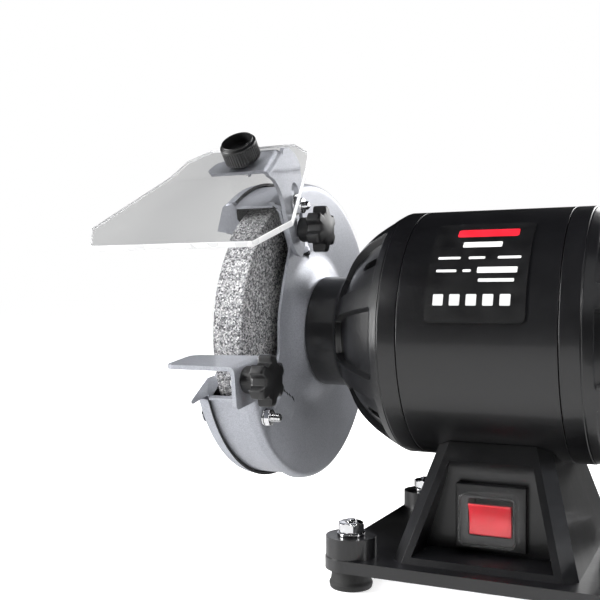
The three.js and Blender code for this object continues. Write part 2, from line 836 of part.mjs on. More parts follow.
function eyeShield() {
  const half = shieldSheet / 2;
  const bend = Math.tan(radians((shieldTopSlope - shieldMainSlope) / 2)) * half;
  const side = outline([
    onMain(shieldMainLength, half), onTop(bend, half), onTop(shieldTopLength, half),
    onTop(shieldTopLength, -half), onTop(-bend, -half), onMain(shieldMainLength, -half),
  ]);
  const sheet = prism(side, "x", shieldCentre - shieldWidest - 5, shieldCentre + shieldWidest + 5);
  const frontY = onMain(shieldMainLength, 0)[0] - 3;
  const cornerY = onMain(shieldMainLength - shieldCornerLength, 0)[0];
  const backY = onTop(shieldTopLength, 0)[0];
  const topStations = shieldWidths.map(([share, width]) => [backY - share * (backY - shieldCrease.y), width]);
  const stations = [
    [frontY, shieldFrontWidth],
    [cornerY, shieldWidest],
    ...topStations.reverse(),
    [backY + 3, shieldWidths[0][1]],
  ];
  const plan = outline([
    ...stations.map(([y, width]) => [shieldCentre + width, y]),
    ...stations.slice().reverse().map(([y, width]) => [shieldCentre - width, y]),
  ]);
  const hole = standOnTop(post(0, 0, -10, 10, knurlStudRadius + boltClearance), shieldCentre, knobSeat, 0);
  return sheet.intersect(prism(plan, "z", 0, 3 * guardRadius)).subtract(hole);
}

// The arm's edge below the flange, as run and rise from the stud.
const armEdge = [
  [-4.5, 39.4], [1.5, 34.5], [1.2, 22], [6.5, 4], [7.5, -6], [5, -13], [2, -14.6], [-3, -13.7],
  [-8.8, -8.2], [-13.6, -0.8], [-15.8, 4.2], [-18.1, 11.6], [-22.6, 17.7], [-29, 22.6],
];

// The flange that carries the shield, at a right angle to the arm and under the shield's upper part.
function shieldFlange() {
  const start = 3.2;
  const stop = shieldTopLength - 1;
  const side = outline([
    onTop(start, flangeTop),
    onTop(stop, flangeTop),
    onTop(stop, flangeBottom),
    onTop(start, flangeBottom),
  ]);
  const backY = onTop(shieldTopLength, 0)[0] + 6;
  const frontY = shieldCrease.y - 9;
  const plan = outline([
    [armInner, frontY],
    [bracketFlangeEnd - 3, frontY],
    [bracketFlangeEnd, frontY + 14],
    [bracketFlangeEnd - 2, frontY + 19],
    [armInner + armSheet + 9, backY],
    [armInner, backY],
  ]);
  return prism(side, "x", armInner, bracketFlangeEnd).intersect(prism(plan, "z", 0, 3 * guardRadius));
}

function shieldBracket() {
  const arm = prism(outline([
    onTop(3.2, flangeTop),
    onTop(shieldTopLength + 5, flangeTop),
    ...armEdge.map(([run, rise]) => [bracketStud.y + run, bracketStud.z + rise]),
  ]), "x", armInner, armInner + armSheet);
  const nutBody = post(0, 0, 0.2 - weldNutHeight, 0.2, weldNutAcross / Math.sqrt(3), 6);
  const nut = standOnTop(nutBody, shieldCentre, knobSeat, flangeBottom);
  const studTool = post(0, 0, -12, 8, knurlStudRadius + boltClearance);
  const studHole = standOnTop(studTool, shieldCentre, knobSeat, flangeTop);
  const slots = [bracketBolt, bracketStud].map(({ y, z }) => (
    prism(slotShape([y, z], [y, z + bracketTravel], bracketSlotWidth), "x", armInner - 5, armInner + 5)
  ));
  return cutAll(union([arm, shieldFlange(), nut]), [studHole, ...slots]);
}

// Bolt and nut that hold the bracket to the pan through its upper slot.
function bracketBoltPiece() {
  const { y, z } = bracketBolt;
  const headStart = guardFace + guardSheet + gap;
  const washerEnd = armInner - gap;
  const washer = 1;
  return union([
    bar(washerEnd - 8, headStart + overshoot, bracketBoltRadius, y, z),
    bar(headStart, headStart + 1.8, 3, y, z),
    bar(washerEnd - washer, washerEnd, 5.2, y, z),
    hexBar(washerEnd - washer - smallNutHeight, washerEnd - washer / 2, smallNutAcross, y, z),
  ]);
}

// Knurled thumb knob with its moulded-in stud.
function shieldKnob() {
  const points = [];
  for (let i = 0; i < 2 * knurlRibs; i++) {
    points.push(onCircle(knurlRadius - (i % 2) * knurlDepth, (180 * i) / knurlRibs));
  }
  const body = prism(outline(points), "z", 0, knurlHeight);
  const recessFloorAt = knurlHeight - knurlRecessDepth;
  const recess = post(0, 0, recessFloorAt, knurlHeight + overshoot, knurlRecessRadius, midRound);
  const studLength = shieldSheet + armSheet + weldNutHeight + 2 * gap + 2;
  const stud = post(0, 0, -studLength, 1, knurlStudRadius);
  const knob = body.subtract(recess).add(stud);
  return standOnTop(knob, shieldCentre, knobSeat, shieldSheet / 2 + gap);
}

// ---------- pedestal ----------
const halfWidthAt = (z) => saddleWidth + (-saddleDrop - z) * sideFlare;
const halfDepthAt = (z) => saddleDepth + (-saddleDrop - z) * frontFlare;

const fourCorners = [[-1, -1], [1, -1], [-1, 1], [1, 1]];

// Corners of the chamfered rectangle that the pedestal has at one height, set in by a wall.
function pedestalCorners(z, inset) {
  const w = halfWidthAt(z) - inset;
  const d = halfDepthAt(z) - inset;
  const c = pedestalChamfer;
  const quarter = [[w - c, d], [w, d - c]];
  const corners = [];
  for (const [sx, sy] of fourCorners) {
    corners.push(...quarter.map(([x, y]) => new THREE.Vector3(sx * x, sy * y, z)));
  }
  return corners;
}

function pedestalSolid(top, bottom, inset) {
  return toSolid(new ConvexGeometry([...pedestalCorners(top, inset), ...pedestalCorners(bottom, inset)]));
}

// The recess in the front face that takes the switch.
function switchRecess(grow) {
  const sideAt = (z) => recessTopWidth + (recessTop - z) * sideFlare + grow;
  const top = recessTop + grow;
  const foot = recessFoot - grow;
  const floor = recessFloor + grow;
  const far = -halfDepthAt(recessFoot) - 10;
  const rimY = -halfDepthAt(recessTop);
  const points = [];
  for (const s of [-1, 1]) {
    points.push(
      new THREE.Vector3(s * sideAt(recessTop - recessTopFall), floor, top - recessTopFall),
      new THREE.Vector3(s * sideAt(recessTop), rimY, top),
      new THREE.Vector3(s * sideAt(recessTop), far, top),
      new THREE.Vector3(s * sideAt(recessFoot), floor, foot),
      new THREE.Vector3(s * sideAt(recessFoot), far, foot),
    );
  }
  return toSolid(new ConvexGeometry(points));
}

const lugPlaces = fourCorners.map(([sx, sy]) => [sx * lugAt.x, sy * lugAt.y]);
const bezelMiddle = bezelTop - bezelHeight / 2;
const glandBossEnd = halfDepthAt(glandDrop) + glandBossProud;

// A round piece along Y at the height of the cord gland.
function alongY(y0, y1, radius, segments = smallRound, farRadius = radius) {
  const geometry = new THREE.CylinderGeometry(farRadius, radius, y1 - y0, segments);
  return toSolid(geometry.translate(0, (y0 + y1) / 2, glandDrop));
}

function pedestal() {
  const tower = pedestalSolid(pedestalTop, pedestalFoot - 1, 0);
  const slabOutline = roundedRectangle(slabHalfWidth, slabHalfDepth, slabCorner);
  const slab = prism(slabOutline, "z", slabBottom, pedestalFoot);
  const lugs = lugPlaces.map(([x, y]) => post(x, y, slabBottom, lugTop, lugRadius, midRound));
  const glandBoss = alongY(glandBossEnd - 25, glandBossEnd, glandBossRadius, midRound);
  const hollow = pedestalSolid(hollowTop, slabBottom - overshoot, pedestalWall);
  const recess = switchRecess(0);
  const cavity = hollow.subtract(switchRecess(pedestalWall));
  const saddle = bar(-100, 100, motorRadius + gap, 0, 0, bigRound);
  const halfWidth = switchBodyWidth / 2 + gap;
  const halfHeight = switchBodyHeight / 2 + gap;
  const window = block(
    -halfWidth, halfWidth,
    recessFloor - 5, recessFloor + pedestalWall + 5,
    bezelMiddle - halfHeight, bezelMiddle + halfHeight,
  );
  const glandHole = alongY(glandBossEnd - 40, glandBossEnd + 5, glandBodyRadius + gap);
  const studHoles = lugPlaces.map(([x, y]) => (
    post(x, y, slabBottom - 5, lugTop + 5, footStudRadius + boltClearance)
  ));
  const casting = union([tower, slab, glandBoss, ...lugs]);
  return cutAll(casting, [saddle, recess, cavity, window, glandHole, ...studHoles]);
}

function basePlate() {
  const top = slabBottom - gap;
  const halfWidth = lugAt.x - footRadius - 3;
  return prism(roundedRectangle(halfWidth, slabHalfDepth - 4, 4), "z", top - basePlateThickness, top);
}

// Rubber foot with its moulded-in stud and the nut on top of the lug.
function foot([x, y]) {
  const top = slabBottom - gap;
  const nutBase = lugTop + gap;
  return union([
    post(x, y, slabBottom - footHeight, top, footRadius),
    post(x, y, top - 1, nutBase + 1, footStudRadius),
    post(x, y, nutBase, nutBase + footNutHeight, footNutAcross / Math.sqrt(3), 6),
  ]);
}

function switchBezel() {
  const front = recessFloor - gap - bezelProud;
  const back = recessFloor - gap;
  const at = (halfWidth, halfHeight, y0, y1) => block(
    -halfWidth, halfWidth, y0, y1, bezelMiddle - halfHeight, bezelMiddle + halfHeight,
  );
  const plate = at(bezelWidth / 2, bezelHeight / 2, front, back);
  const body = at(switchBodyWidth / 2, switchBodyHeight / 2, back - 1, back + switchBodyDepth);
  const well = at(rockerWidth / 2 + gap, rockerHeight / 2 + gap, front - overshoot, front + rockerWellDepth);
  return plate.add(body).subtract(well);
}

// The rocker at rest is tipped to off, so the upper half stands proud.
function switchRocker() {
  const front = recessFloor - gap - bezelProud;
  const h = rockerHeight / 2 - 0.7;
  const side = outline([
    [front - 1.2, -h],
    [front - 0.2, 0],
    [front - 1.2, h],
    [front + 4.5, h - 1.6],
    [front + 8, 1.8],
    [front + 8, -1.8],
    [front + 4.5, -h + 1.6],
  ]);
  const rocker = moved(prism(side, "x", -rockerWidth / 2, rockerWidth / 2), 0, 0, bezelMiddle);
  return turnAboutX(rocker, rockerTilt, front + 2, bezelMiddle);
}

function switchCap() {
  const front = recessFloor - 2 * gap - bezelProud;
  const shell = (grow, y0) => {
    const w = capWidth / 2 + grow;
    const h = capHeight / 2 + grow;
    const round = roundedRectangle(w, h, 3 + grow);
    return moved(prism(round, "y", y0, front + (grow < 0 ? overshoot : 0)), 0, 0, bezelMiddle);
  };
  return shell(0, front - capProud).subtract(shell(-capWall, front - capProud + capWall));
}

function runCapacitor() {
  const rest = slabBottom + capacitorRadius + gap;
  return bar(-capacitorLength / 2, capacitorLength / 2, capacitorRadius, capacitorBack, rest, midRound);
}

function cordGland() {
  const seat = glandBossEnd + gap;
  const flangeEnd = seat + glandFlangeThickness;
  const flange = alongY(seat, flangeEnd, glandFlangeRadius, midRound);
  const sleeve = alongY(seat - glandSleeve, flangeEnd, glandBodyRadius);
  const tail = alongY(flangeEnd, seat + glandLength, glandBodyRadius, smallRound, glandBodyRadius - 1.5);
  const bore = alongY(seat - glandSleeve - 2, seat + glandLength + 2, glandBore);
  return union([flange, sleeve, tail]).subtract(bore);
}

// ---------- assembly ----------
const grinder = new THREE.Group();
const motor = new THREE.Group();
const base = new THREE.Group();
const ends = { left: new THREE.Group(), right: new THREE.Group() };
base.position.x = baseShift;
grinder.add(motor, base, ends.left, ends.right);

function place(parent, name, solid, material) {
  const mesh = new THREE.Mesh(toGeometry(solid), material);
  mesh.name = name;
  parent.add(mesh);
}

// One right-hand piece at its own end, and its mirror image at the other end.
function placeBoth(name, solid, material) {
  place(ends.right, `${name}_right`, solid, material());
  const mirrored = toGeometry(solid).scale(-1, 1, 1);
  place(ends.left, `${name}_left`, toSolid(mirrored), material());
}

place(motor, "stator_housing", statorHousing(), blackGloss());
place(motor, "stator_core", statorCore(), iron());
place(motor, "stator_winding", statorWinding(), copper());
place(motor, "rating_plate", ratingPlate(), blackPlastic());
place(motor, "spindle_shaft", spindleShaft(), steel());
place(motor, "rotor", rotor(), iron());

placeBoth("end_bell", endBell(), blackCast);
placeBoth("bearing", bearing(), steel);
placeBoth("inner_flange", clampFlange(wheelInnerFace - gap, innerFlangeStart), steel);
placeBoth("outer_flange", clampFlange(wheelOuterFace + gap, outerFlangeEnd), steel);
placeBoth("grinding_wheel", grindingWheel(), abrasive);
placeBoth("spindle_nut", spindleNut(), steel);

placeBoth("guard_pan", guardPan(), greyPaint);
placeBoth("guard_band", guardBand(), greyPaint);
placeBoth("outer_cover", outerCover(), greyPaint);
placeBoth("cover_bolt_low", coverBolt("low"), steel);
placeBoth("cover_bolt_rear", coverBolt("rear"), steel);

placeBoth("rest_support", restSupport(), greyPaint);
placeBoth("rest_bolt", carriageBolt(supportInner + supportSheet + gap, restPivot.y, restPivot.z), steel);
placeBoth("tool_rest", toolRest(), greyPaint);
placeBoth("rest_knob", starKnob(restPivot), blackPlastic);

placeBoth("shield_bracket", shieldBracket(), greyPaint);
placeBoth("bracket_bolt", bracketBoltPiece(), steel);
placeBoth("bracket_stud", carriageBolt(guardFace + guardSheet + gap, bracketStud.y, bracketStud.z), steel);
placeBoth("bracket_knob", starKnob(bracketStud), blackPlastic);
placeBoth("eye_shield", eyeShield(), clearPlastic);
placeBoth("shield_knob", shieldKnob(), blackPlastic);

place(base, "pedestal", pedestal(), blackCast());
place(base, "base_plate", basePlate(), steel());
const footNames = ["foot_front_left", "foot_front_right", "foot_rear_left", "foot_rear_right"];
lugPlaces.forEach((at, i) => place(base, footNames[i], foot(at), rubber()));
place(base, "switch_bezel", switchBezel(), blackPlastic());
place(base, "switch_rocker", switchRocker(), redPlastic());
place(base, "switch_cap", switchCap(), clearPlastic());
place(base, "run_capacitor", runCapacitor(), steel());
place(base, "cord_gland", cordGland(), rubber());

// Stand the grinder on its feet with the origin under the middle of its box.
grinder.updateMatrixWorld(true);
const box = new THREE.Box3().setFromObject(grinder, true);
const middle = box.getCenter(new THREE.Vector3());
grinder.position.set(-middle.x, -middle.y, -box.min.z);

export default grinder;
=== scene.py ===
import bmesh
import bpy
import numpy as np
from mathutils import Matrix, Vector


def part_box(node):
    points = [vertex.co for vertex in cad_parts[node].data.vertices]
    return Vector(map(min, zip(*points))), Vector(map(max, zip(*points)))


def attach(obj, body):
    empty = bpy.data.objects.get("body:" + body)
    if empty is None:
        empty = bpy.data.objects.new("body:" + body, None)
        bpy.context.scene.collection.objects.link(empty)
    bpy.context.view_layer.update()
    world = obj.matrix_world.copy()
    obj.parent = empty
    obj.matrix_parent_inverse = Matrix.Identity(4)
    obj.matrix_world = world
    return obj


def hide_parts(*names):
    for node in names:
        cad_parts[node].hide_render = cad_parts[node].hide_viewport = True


# Double-ended bench grinder. Sizes below are millimetres about the middle of the spindle, taken from
# the frame's own boxes, and piece() turns them into metres in the frame. The parts of one end are
# worked out for the right-hand end (side 1) and mirrored in x for the left-hand end (side -1).
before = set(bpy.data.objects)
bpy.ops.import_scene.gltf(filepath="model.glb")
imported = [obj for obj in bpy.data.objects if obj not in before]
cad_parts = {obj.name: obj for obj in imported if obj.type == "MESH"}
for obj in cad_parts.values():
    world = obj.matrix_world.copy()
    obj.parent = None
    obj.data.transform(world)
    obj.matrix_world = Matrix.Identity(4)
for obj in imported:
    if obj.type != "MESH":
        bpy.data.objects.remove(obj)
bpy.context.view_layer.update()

MM = 0.001
TURN = 2 * np.pi
SIDES = {"right": 1, "left": -1}
CORNER_POINTS = 6
SLOT_END_POINTS = 13


def in_mm(corner):
    return np.array(corner) / MM


spindle = sum(in_mm(corner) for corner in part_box("spindle_shaft")) / 2


def span(node):
    """Lowest and highest corner of a CAD node, in millimetres about the middle of the spindle."""
    low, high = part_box(node)
    return in_mm(low) - spindle, in_mm(high) - spindle


# ---------- curves and grids ----------
def eased(corners, radius, closed=False):
    """A polyline with each corner replaced by the parabola (1-t)^2 A + 2t(1-t) C + t^2 B, where C is the
    corner and A and B lie one radius away from it along its two sides."""
    c = np.asarray(corners, float)
    reach = np.array(np.broadcast_to(radius, len(c)), float)
    before = np.roll(c, 1, 0) - c
    after = np.roll(c, -1, 0) - c
    if not closed:
        reach[[0, -1]] = 0
        before[0] = after[0]
        after[-1] = before[-1]
    run_in = np.linalg.norm(before, axis=1)
    run_out = np.linalg.norm(after, axis=1)
    reach = np.minimum(reach, 0.49 * np.minimum(run_in, run_out))
    a = c + before * (reach / run_in)[:, None]
    b = c + after * (reach / run_out)[:, None]
    t = np.linspace(0, 1, CORNER_POINTS)[None, :, None]
    curve = (1 - t) ** 2 * a[:, None] + 2 * t * (1 - t) * c[:, None] + t ** 2 * b[:, None]
    points = curve.reshape(-1, c.shape[1])
    if closed:
        points = np.vstack([points, points[:1]])
    moves = np.linalg.norm(np.diff(points, axis=0), axis=1)
    return points[np.concatenate([[True], moves > 1e-5])]


def lengths_along(path):
    return np.concatenate([[0], np.cumsum(np.linalg.norm(np.diff(path, axis=0), axis=1))])


def refined(path, spacing):
    """The same polyline with points added, so that none of its steps is longer than the spacing."""
    run = lengths_along(path)
    extra = np.arange(spacing / 2, run[-1], spacing)
    nearest = np.abs(extra[:, None] - run[None, :]).min(1)
    stations = np.sort(np.concatenate([run, extra[nearest > spacing / 4]]))
    return np.stack([np.interp(stations, run, path[:, k]) for k in range(path.shape[1])], 1)


def smooth(x):
    """0 below 0, 1 above 1 and 3x^2 - 2x^3 between."""
    x = np.clip(x, 0, 1)
    return x * x * (3 - 2 * x)


def spun(heights, radii, origin=(0, 0, 0), axis=(1, 0, 0), columns=96):
    """Points at origin + height * axis + radius * (cos t * u + sin t * v), with u and v square to the
    axis. Heights and radii are one value to a row, or one to a row and column."""
    w = np.asarray(axis, float)
    u = np.array([0.0, 1, 0]) if abs(w[0]) > 0.9 else np.array([1.0, 0, 0])
    v = np.cross(w, u)
    t = np.arange(columns) * TURN / columns
    heights = np.asarray(heights, float)
    radii = np.asarray(radii, float)
    if heights.ndim == 1:
        heights = heights[:, None]
    if radii.ndim == 1:
        radii = radii[:, None]
    ring = np.cos(t)[:, None] * u + np.sin(t)[:, None] * v
    return np.asarray(origin, float) + heights[..., None] * w + radii[..., None] * ring[None]


def quads(rows, columns, wrap):
    """Corner numbers of a grid's quads; with wrap the last column joins the first."""
    i, j = np.meshgrid(np.arange(rows - 1), np.arange(columns if wrap else columns - 1), indexing="ij")
    k = (j + 1) % columns
    corners = [i * columns + j, i * columns + k, (i + 1) * columns + k, (i + 1) * columns + j]
    return np.stack(corners, -1).reshape(-1, 4)


def piece(name, grids, side=1, flats=()):
    """A mesh object from grids, each a pair of points[row, column] and whether its columns wrap round,
    and from flats, each a closed outline in space. Shared points are welded and the faces turned out."""
    points = []
    faces = []
    count = 0
    for grid, wrap in grids:
        faces += (quads(grid.shape[0], grid.shape[1], wrap) + count).tolist()
        points.append(grid.reshape(-1, 3))
        count += grid.shape[0] * grid.shape[1]
    for outline in flats:
        faces.append(list(range(count, count + len(outline))))
        points.append(outline)
        count += len(outline)
    place = (np.concatenate(points) * (side, 1, 1) + spindle) * MM
    mesh = bpy.data.meshes.new(name)
    mesh.from_pydata(place, [], faces)
    bm = bmesh.new()
    bm.from_mesh(mesh)
    bmesh.ops.remove_doubles(bm, verts=bm.verts, dist=2e-6)
    bmesh.ops.dissolve_degenerate(bm, edges=bm.edges, dist=1e-6)
    bmesh.ops.recalc_face_normals(bm, faces=bm.faces)
    bm.to_mesh(mesh)
    bm.free()
    obj = bpy.data.objects.new(name, mesh)
    bpy.context.scene.collection.objects.link(obj)
    return obj


# ---------- modifiers ----------
def settle(obj):
    """Keeps what the modifiers make as the piece's own mesh."""
    graph = bpy.context.evaluated_depsgraph_get()
    mesh = bpy.data.meshes.new_from_object(obj.evaluated_get(graph), depsgraph=graph)
    obj.modifiers.clear()
    obj.data = mesh
    return obj


def thicken(obj, sheet):
    wall = obj.modifiers.new("wall", "SOLIDIFY")
    wall.thickness = sheet * MM
    wall.offset = 0
    wall.use_even_offset = True
    return settle(obj)


def bevel(obj, width, segments=3, angle=35):
    edge = obj.modifiers.new("edge", "BEVEL")
    edge.width = width * MM
    edge.segments = segments
    edge.limit_method = "ANGLE"
    edge.angle_limit = np.radians(angle)
    edge.use_clamp_overlap = True
    edge.miter_outer = "MITER_ARC"
    return settle(obj)


def cut(obj, cutters):
    for tool in cutters:
        hole = obj.modifiers.new("hole", "BOOLEAN")
        hole.operation = "DIFFERENCE"
        hole.solver = "EXACT"
        hole.object = tool
    settle(obj)
    for tool in cutters:
        bpy.data.objects.remove(tool)
    return obj


def finish(obj, body, material, replaces=(), sharp=32):
    """Smooth shading with creases kept, the material, the CAD body it rides on and what it stands for."""
    mesh = obj.data
    mesh.polygons.foreach_set("use_smooth", np.ones(len(mesh.polygons), bool))
    mesh.set_sharp_from_angle(angle=np.radians(sharp))
    weights = obj.modifiers.new("weights", "WEIGHTED_NORMAL")
    weights.keep_sharp = True
    mesh.materials.clear()
    mesh.materials.append(material)
    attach(obj, body)
    if replaces:
        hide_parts(*replaces)
    return obj


# ---------- materials ----------
def shader(name, slot, **settings):
    """A material with one Principled shader; settings go on its own sockets, by socket name."""
    material = bpy.data.materials.new(name)
    material["slot"] = slot
    material.use_nodes = True
    principled = material.node_tree.nodes["Principled BSDF"]
    for socket, value in settings.items():
        principled.inputs[socket.replace("_", " ")].default_value = value
    return material, material.node_tree, principled


def texture(tree, kind, scale, **settings):
    """A texture node of one kind that reads the object's own coordinates in metres."""
    place = tree.nodes.new("ShaderNodeTexCoord")
    node = tree.nodes.new(kind)
    tree.links.new(place.outputs["Object"], node.inputs["Vector"])
    node.inputs["Scale"].default_value = scale
    for socket, value in settings.items():
        node.inputs[socket].default_value = value
    return node


def ranged(tree, value, low, high, start=0.0, stop=1.0):
    """Maps a value that runs from start to stop onto low to high, and clamps it."""
    node = tree.nodes.new("ShaderNodeMapRange")
    tree.links.new(value, node.inputs["Value"])
    node.inputs["From Min"].default_value = start
    node.inputs["From Max"].default_value = stop
    node.inputs["To Min"].default_value = low
    node.inputs["To Max"].default_value = high
    return node.outputs["Result"]


def coloured(tree, value, stops):
    """A colour ramp through the stops, each a place from 0 to 1 and a linear colour."""
    ramp = tree.nodes.new("ShaderNodeValToRGB")
    tree.links.new(value, ramp.inputs["Fac"])
    elements = ramp.color_ramp.elements
    while len(elements) < len(stops):
        elements.new(0.5)
    for element, (place, colour) in zip(elements, stops):
        element.position = place
        element.color = (*colour, 1)
    return ramp.outputs["Color"]


def bumped(tree, principled, heights):
    """Chains bump nodes, each a height, a strength and a depth in millimetres, into the normal."""
    previous = None
    for height, strength, depth in heights:
        bump = tree.nodes.new("ShaderNodeBump")
        bump.inputs["Strength"].default_value = strength
        bump.inputs["Distance"].default_value = depth * MM
        tree.links.new(height, bump.inputs["Height"])
        if previous:
            tree.links.new(previous, bump.inputs["Normal"])
        previous = bump.outputs["Normal"]
    tree.links.new(previous, principled.inputs["Normal"])


def silver_paint():
    """Sprayed metallic paint: fine flakes of uneven tone over an orange-peel surface."""
    material, tree, principled = shader("silver_paint", "grey_paint", Metallic=0.4)
    flakes = texture(tree, "ShaderNodeTexVoronoi", 2600)
    patches = texture(tree, "ShaderNodeTexNoise", 60, Detail=3.0)
    peel = texture(tree, "ShaderNodeTexNoise", 700, Detail=2.0)
    tone = tree.nodes.new("ShaderNodeMix")
    tone.data_type = "FLOAT"
    tone.inputs["Factor"].default_value = 0.25
    tree.links.new(flakes.outputs["Color"], tone.inputs["A"])
    tree.links.new(patches.outputs["Fac"], tone.inputs["B"])
    colour = coloured(tree, tone.outputs["Result"], [(0.0, (0.29, 0.3, 0.335)), (1.0, (0.5, 0.515, 0.56))])
    tree.links.new(colour, principled.inputs["Base Color"])
    tree.links.new(ranged(tree, patches.outputs["Fac"], 0.3, 0.4), principled.inputs["Roughness"])
    bumped(tree, principled, [(peel.outputs["Fac"], 0.5, 0.12), (flakes.outputs["Distance"], 0.2, 0.03)])
    return material


def black_paint(name, slot, roughness, peel_depth, grain_depth):
    """Black enamel: a slight orange peel and a finer cast grain under it, with faint dull patches."""
    material, tree, principled = shader(name, slot, Coat_Weight=0.25, Coat_Roughness=0.12)
    peel = texture(tree, "ShaderNodeTexNoise", 450, Detail=1.0)
    grain = texture(tree, "ShaderNodeTexNoise", 2400, Detail=4.0)
    dust = texture(tree, "ShaderNodeTexNoise", 38, Detail=6.0, Roughness=0.6)
    stops = [(0.2, (0.003, 0.003, 0.0035)), (0.8, (0.006, 0.006, 0.007))]
    colour = coloured(tree, dust.outputs["Fac"], stops)
    tree.links.new(colour, principled.inputs["Base Color"])
    level = ranged(tree, dust.outputs["Fac"], roughness - 0.06, roughness + 0.08, 0.1, 0.9)
    tree.links.new(level, principled.inputs["Roughness"])
    heights = [(peel.outputs["Fac"], 0.4, peel_depth), (grain.outputs["Fac"], 0.3, grain_depth)]
    bumped(tree, principled, heights)
    return material


def abrasive_grain():
    """Bonded grit: angular grains of mixed grey, a few near white or near black, with deep pores."""
    settings = {"Roughness": 0.88, "Specular_IOR_Level": 0.3}
    material, tree, principled = shader("abrasive_grain", "abrasive", **settings)
    grains = texture(tree, "ShaderNodeTexVoronoi", 1150)
    fine = texture(tree, "ShaderNodeTexVoronoi", 2600)
    pores = texture(tree, "ShaderNodeTexNoise", 900, Detail=5.0, Roughness=0.7)
    tone = tree.nodes.new("ShaderNodeMix")
    tone.data_type = "FLOAT"
    tone.inputs["Factor"].default_value = 0.4
    tree.links.new(grains.outputs["Color"], tone.inputs["A"])
    tree.links.new(fine.outputs["Color"], tone.inputs["B"])
    stops = [
        (0.12, (0.012, 0.012, 0.014)), (0.34, (0.1, 0.1, 0.105)), (0.5, (0.3, 0.3, 0.31)),
        (0.66, (0.48, 0.48, 0.485)), (0.85, (0.92, 0.92, 0.91)),
    ]
    tree.links.new(coloured(tree, tone.outputs["Result"], stops), principled.inputs["Base Color"])
    bumped(tree, principled, [(pores.outputs["Fac"], 0.9, 0.5), (grains.outputs["Distance"], 0.8, 0.3)])
    return material


def moulded_plastic(name, slot, low, high, roughness, grain_depth):
    """Moulded plastic: a fine eroded grain, slightly uneven in tone and gloss."""
    material, tree, principled = shader(name, slot)
    grain = texture(tree, "ShaderNodeTexNoise", 2200, Detail=3.0)
    cloud = texture(tree, "ShaderNodeTexNoise", 120, Detail=4.0)
    colour = coloured(tree, cloud.outputs["Fac"], [(0.3, low), (0.7, high)])
    tree.links.new(colour, principled.inputs["Base Color"])
    level = ranged(tree, cloud.outputs["Fac"], roughness - 0.06, roughness + 0.06, 0.3, 0.7)
    tree.links.new(level, principled.inputs["Roughness"])
    bumped(tree, principled, [(grain.outputs["Fac"], 0.4, grain_depth)])
    return material


def plated_steel(name, slot, low, high, roughness):
    """Bright plate: hairline scratches drawn out along the spindle, and a slightly cloudy gloss."""
    material, tree, principled = shader(name, slot, Metallic=1.0)
    place = tree.nodes.new("ShaderNodeTexCoord")
    stretch = tree.nodes.new("ShaderNodeMapping")
    stretch.inputs["Scale"].default_value = (0.2, 1, 1)
    tree.links.new(place.outputs["Object"], stretch.inputs["Vector"])
    scratches = tree.nodes.new("ShaderNodeTexNoise")
    scratches.inputs["Scale"].default_value = 3000
    tree.links.new(stretch.outputs["Vector"], scratches.inputs["Vector"])
    cloud = texture(tree, "ShaderNodeTexNoise", 160, Detail=3.0)
    colour = coloured(tree, cloud.outputs["Fac"], [(0.3, low), (0.7, high)])
    tree.links.new(colour, principled.inputs["Base Color"])
    level = ranged(tree, cloud.outputs["Fac"], roughness * 0.7, roughness * 1.4, 0.3, 0.7)
    tree.links.new(level, principled.inputs["Roughness"])
    bumped(tree, principled, [(scratches.outputs["Fac"], 0.25, 0.02)])
    return material


def clear_plastic(name, low, high):
    """Clear plastic with a tint that clouds slowly from low to high, and light rub marks in its gloss."""
    material, tree, principled = shader(name, "clear_plastic", IOR=1.2, Transmission_Weight=1.0)
    rubs = texture(tree, "ShaderNodeTexNoise", 9, Detail=2.0, Roughness=0.4)
    colour = coloured(tree, rubs.outputs["Fac"], [(0.3, low), (0.7, high)])
    tree.links.new(colour, principled.inputs["Base Color"])
    tree.links.new(ranged(tree, rubs.outputs["Fac"], 0.0, 0.03, 0.45, 0.8), principled.inputs["Roughness"])
    return material


def clear_edge_painted_glow():
    """The sheet's sawn and polished edge, with fine saw marks: its near-white tone and its glow are painted
    light, standing in for the light that the edge gathers.
    """
    material, tree, principled = shader("clear_edge_painted_glow", "clear_plastic", IOR=1.55, Transmission_Weight=0.3)
    marks = texture(tree, "ShaderNodeTexNoise", 90, Detail=2.0)
    stops = [(0.35, (0.86, 0.865, 0.875)), (0.65, (0.97, 0.97, 0.97))]
    colour = coloured(tree, marks.outputs["Fac"], stops)
    tree.links.new(colour, principled.inputs["Base Color"])
    tree.links.new(ranged(tree, marks.outputs["Fac"], 0.15, 0.4), principled.inputs["Roughness"])
    # painted glow: this emission paints in the light the edge gathers, though the edge is no lamp
    principled.inputs["Emission Color"].default_value = (1, 1, 1, 1)
    principled.inputs["Emission Strength"].default_value = 0.15
    return material


def wound_copper():
    """Enamelled wire laid side by side: thin bands along the winding with small breaks."""
    material, tree, principled = shader("wound_copper", "copper", Metallic=0.8, Roughness=0.35)
    strands = texture(tree, "ShaderNodeTexWave", 300, Distortion=4.0)
    colour = coloured(tree, strands.outputs["Fac"], [(0.0, (0.22, 0.06, 0.02)), (1.0, (0.62, 0.24, 0.09))])
    tree.links.new(colour, principled.inputs["Base Color"])
    bumped(tree, principled, [(strands.outputs["Fac"], 0.8, 0.3)])
    return material


def stacked_steel():
    """Edges of thin steel sheets stacked along the spindle."""
    material, tree, principled = shader("stacked_steel", "core_steel", Metallic=0.9, Roughness=0.5)
    sheets = texture(tree, "ShaderNodeTexWave", 320)
    sheets.bands_direction = "X"
    colour = coloured(tree, sheets.outputs["Fac"], [(0.0, (0.08, 0.08, 0.085)), (1.0, (0.24, 0.24, 0.25))])
    tree.links.new(colour, principled.inputs["Base Color"])
    bumped(tree, principled, [(sheets.outputs["Fac"], 0.6, 0.2)])
    return material


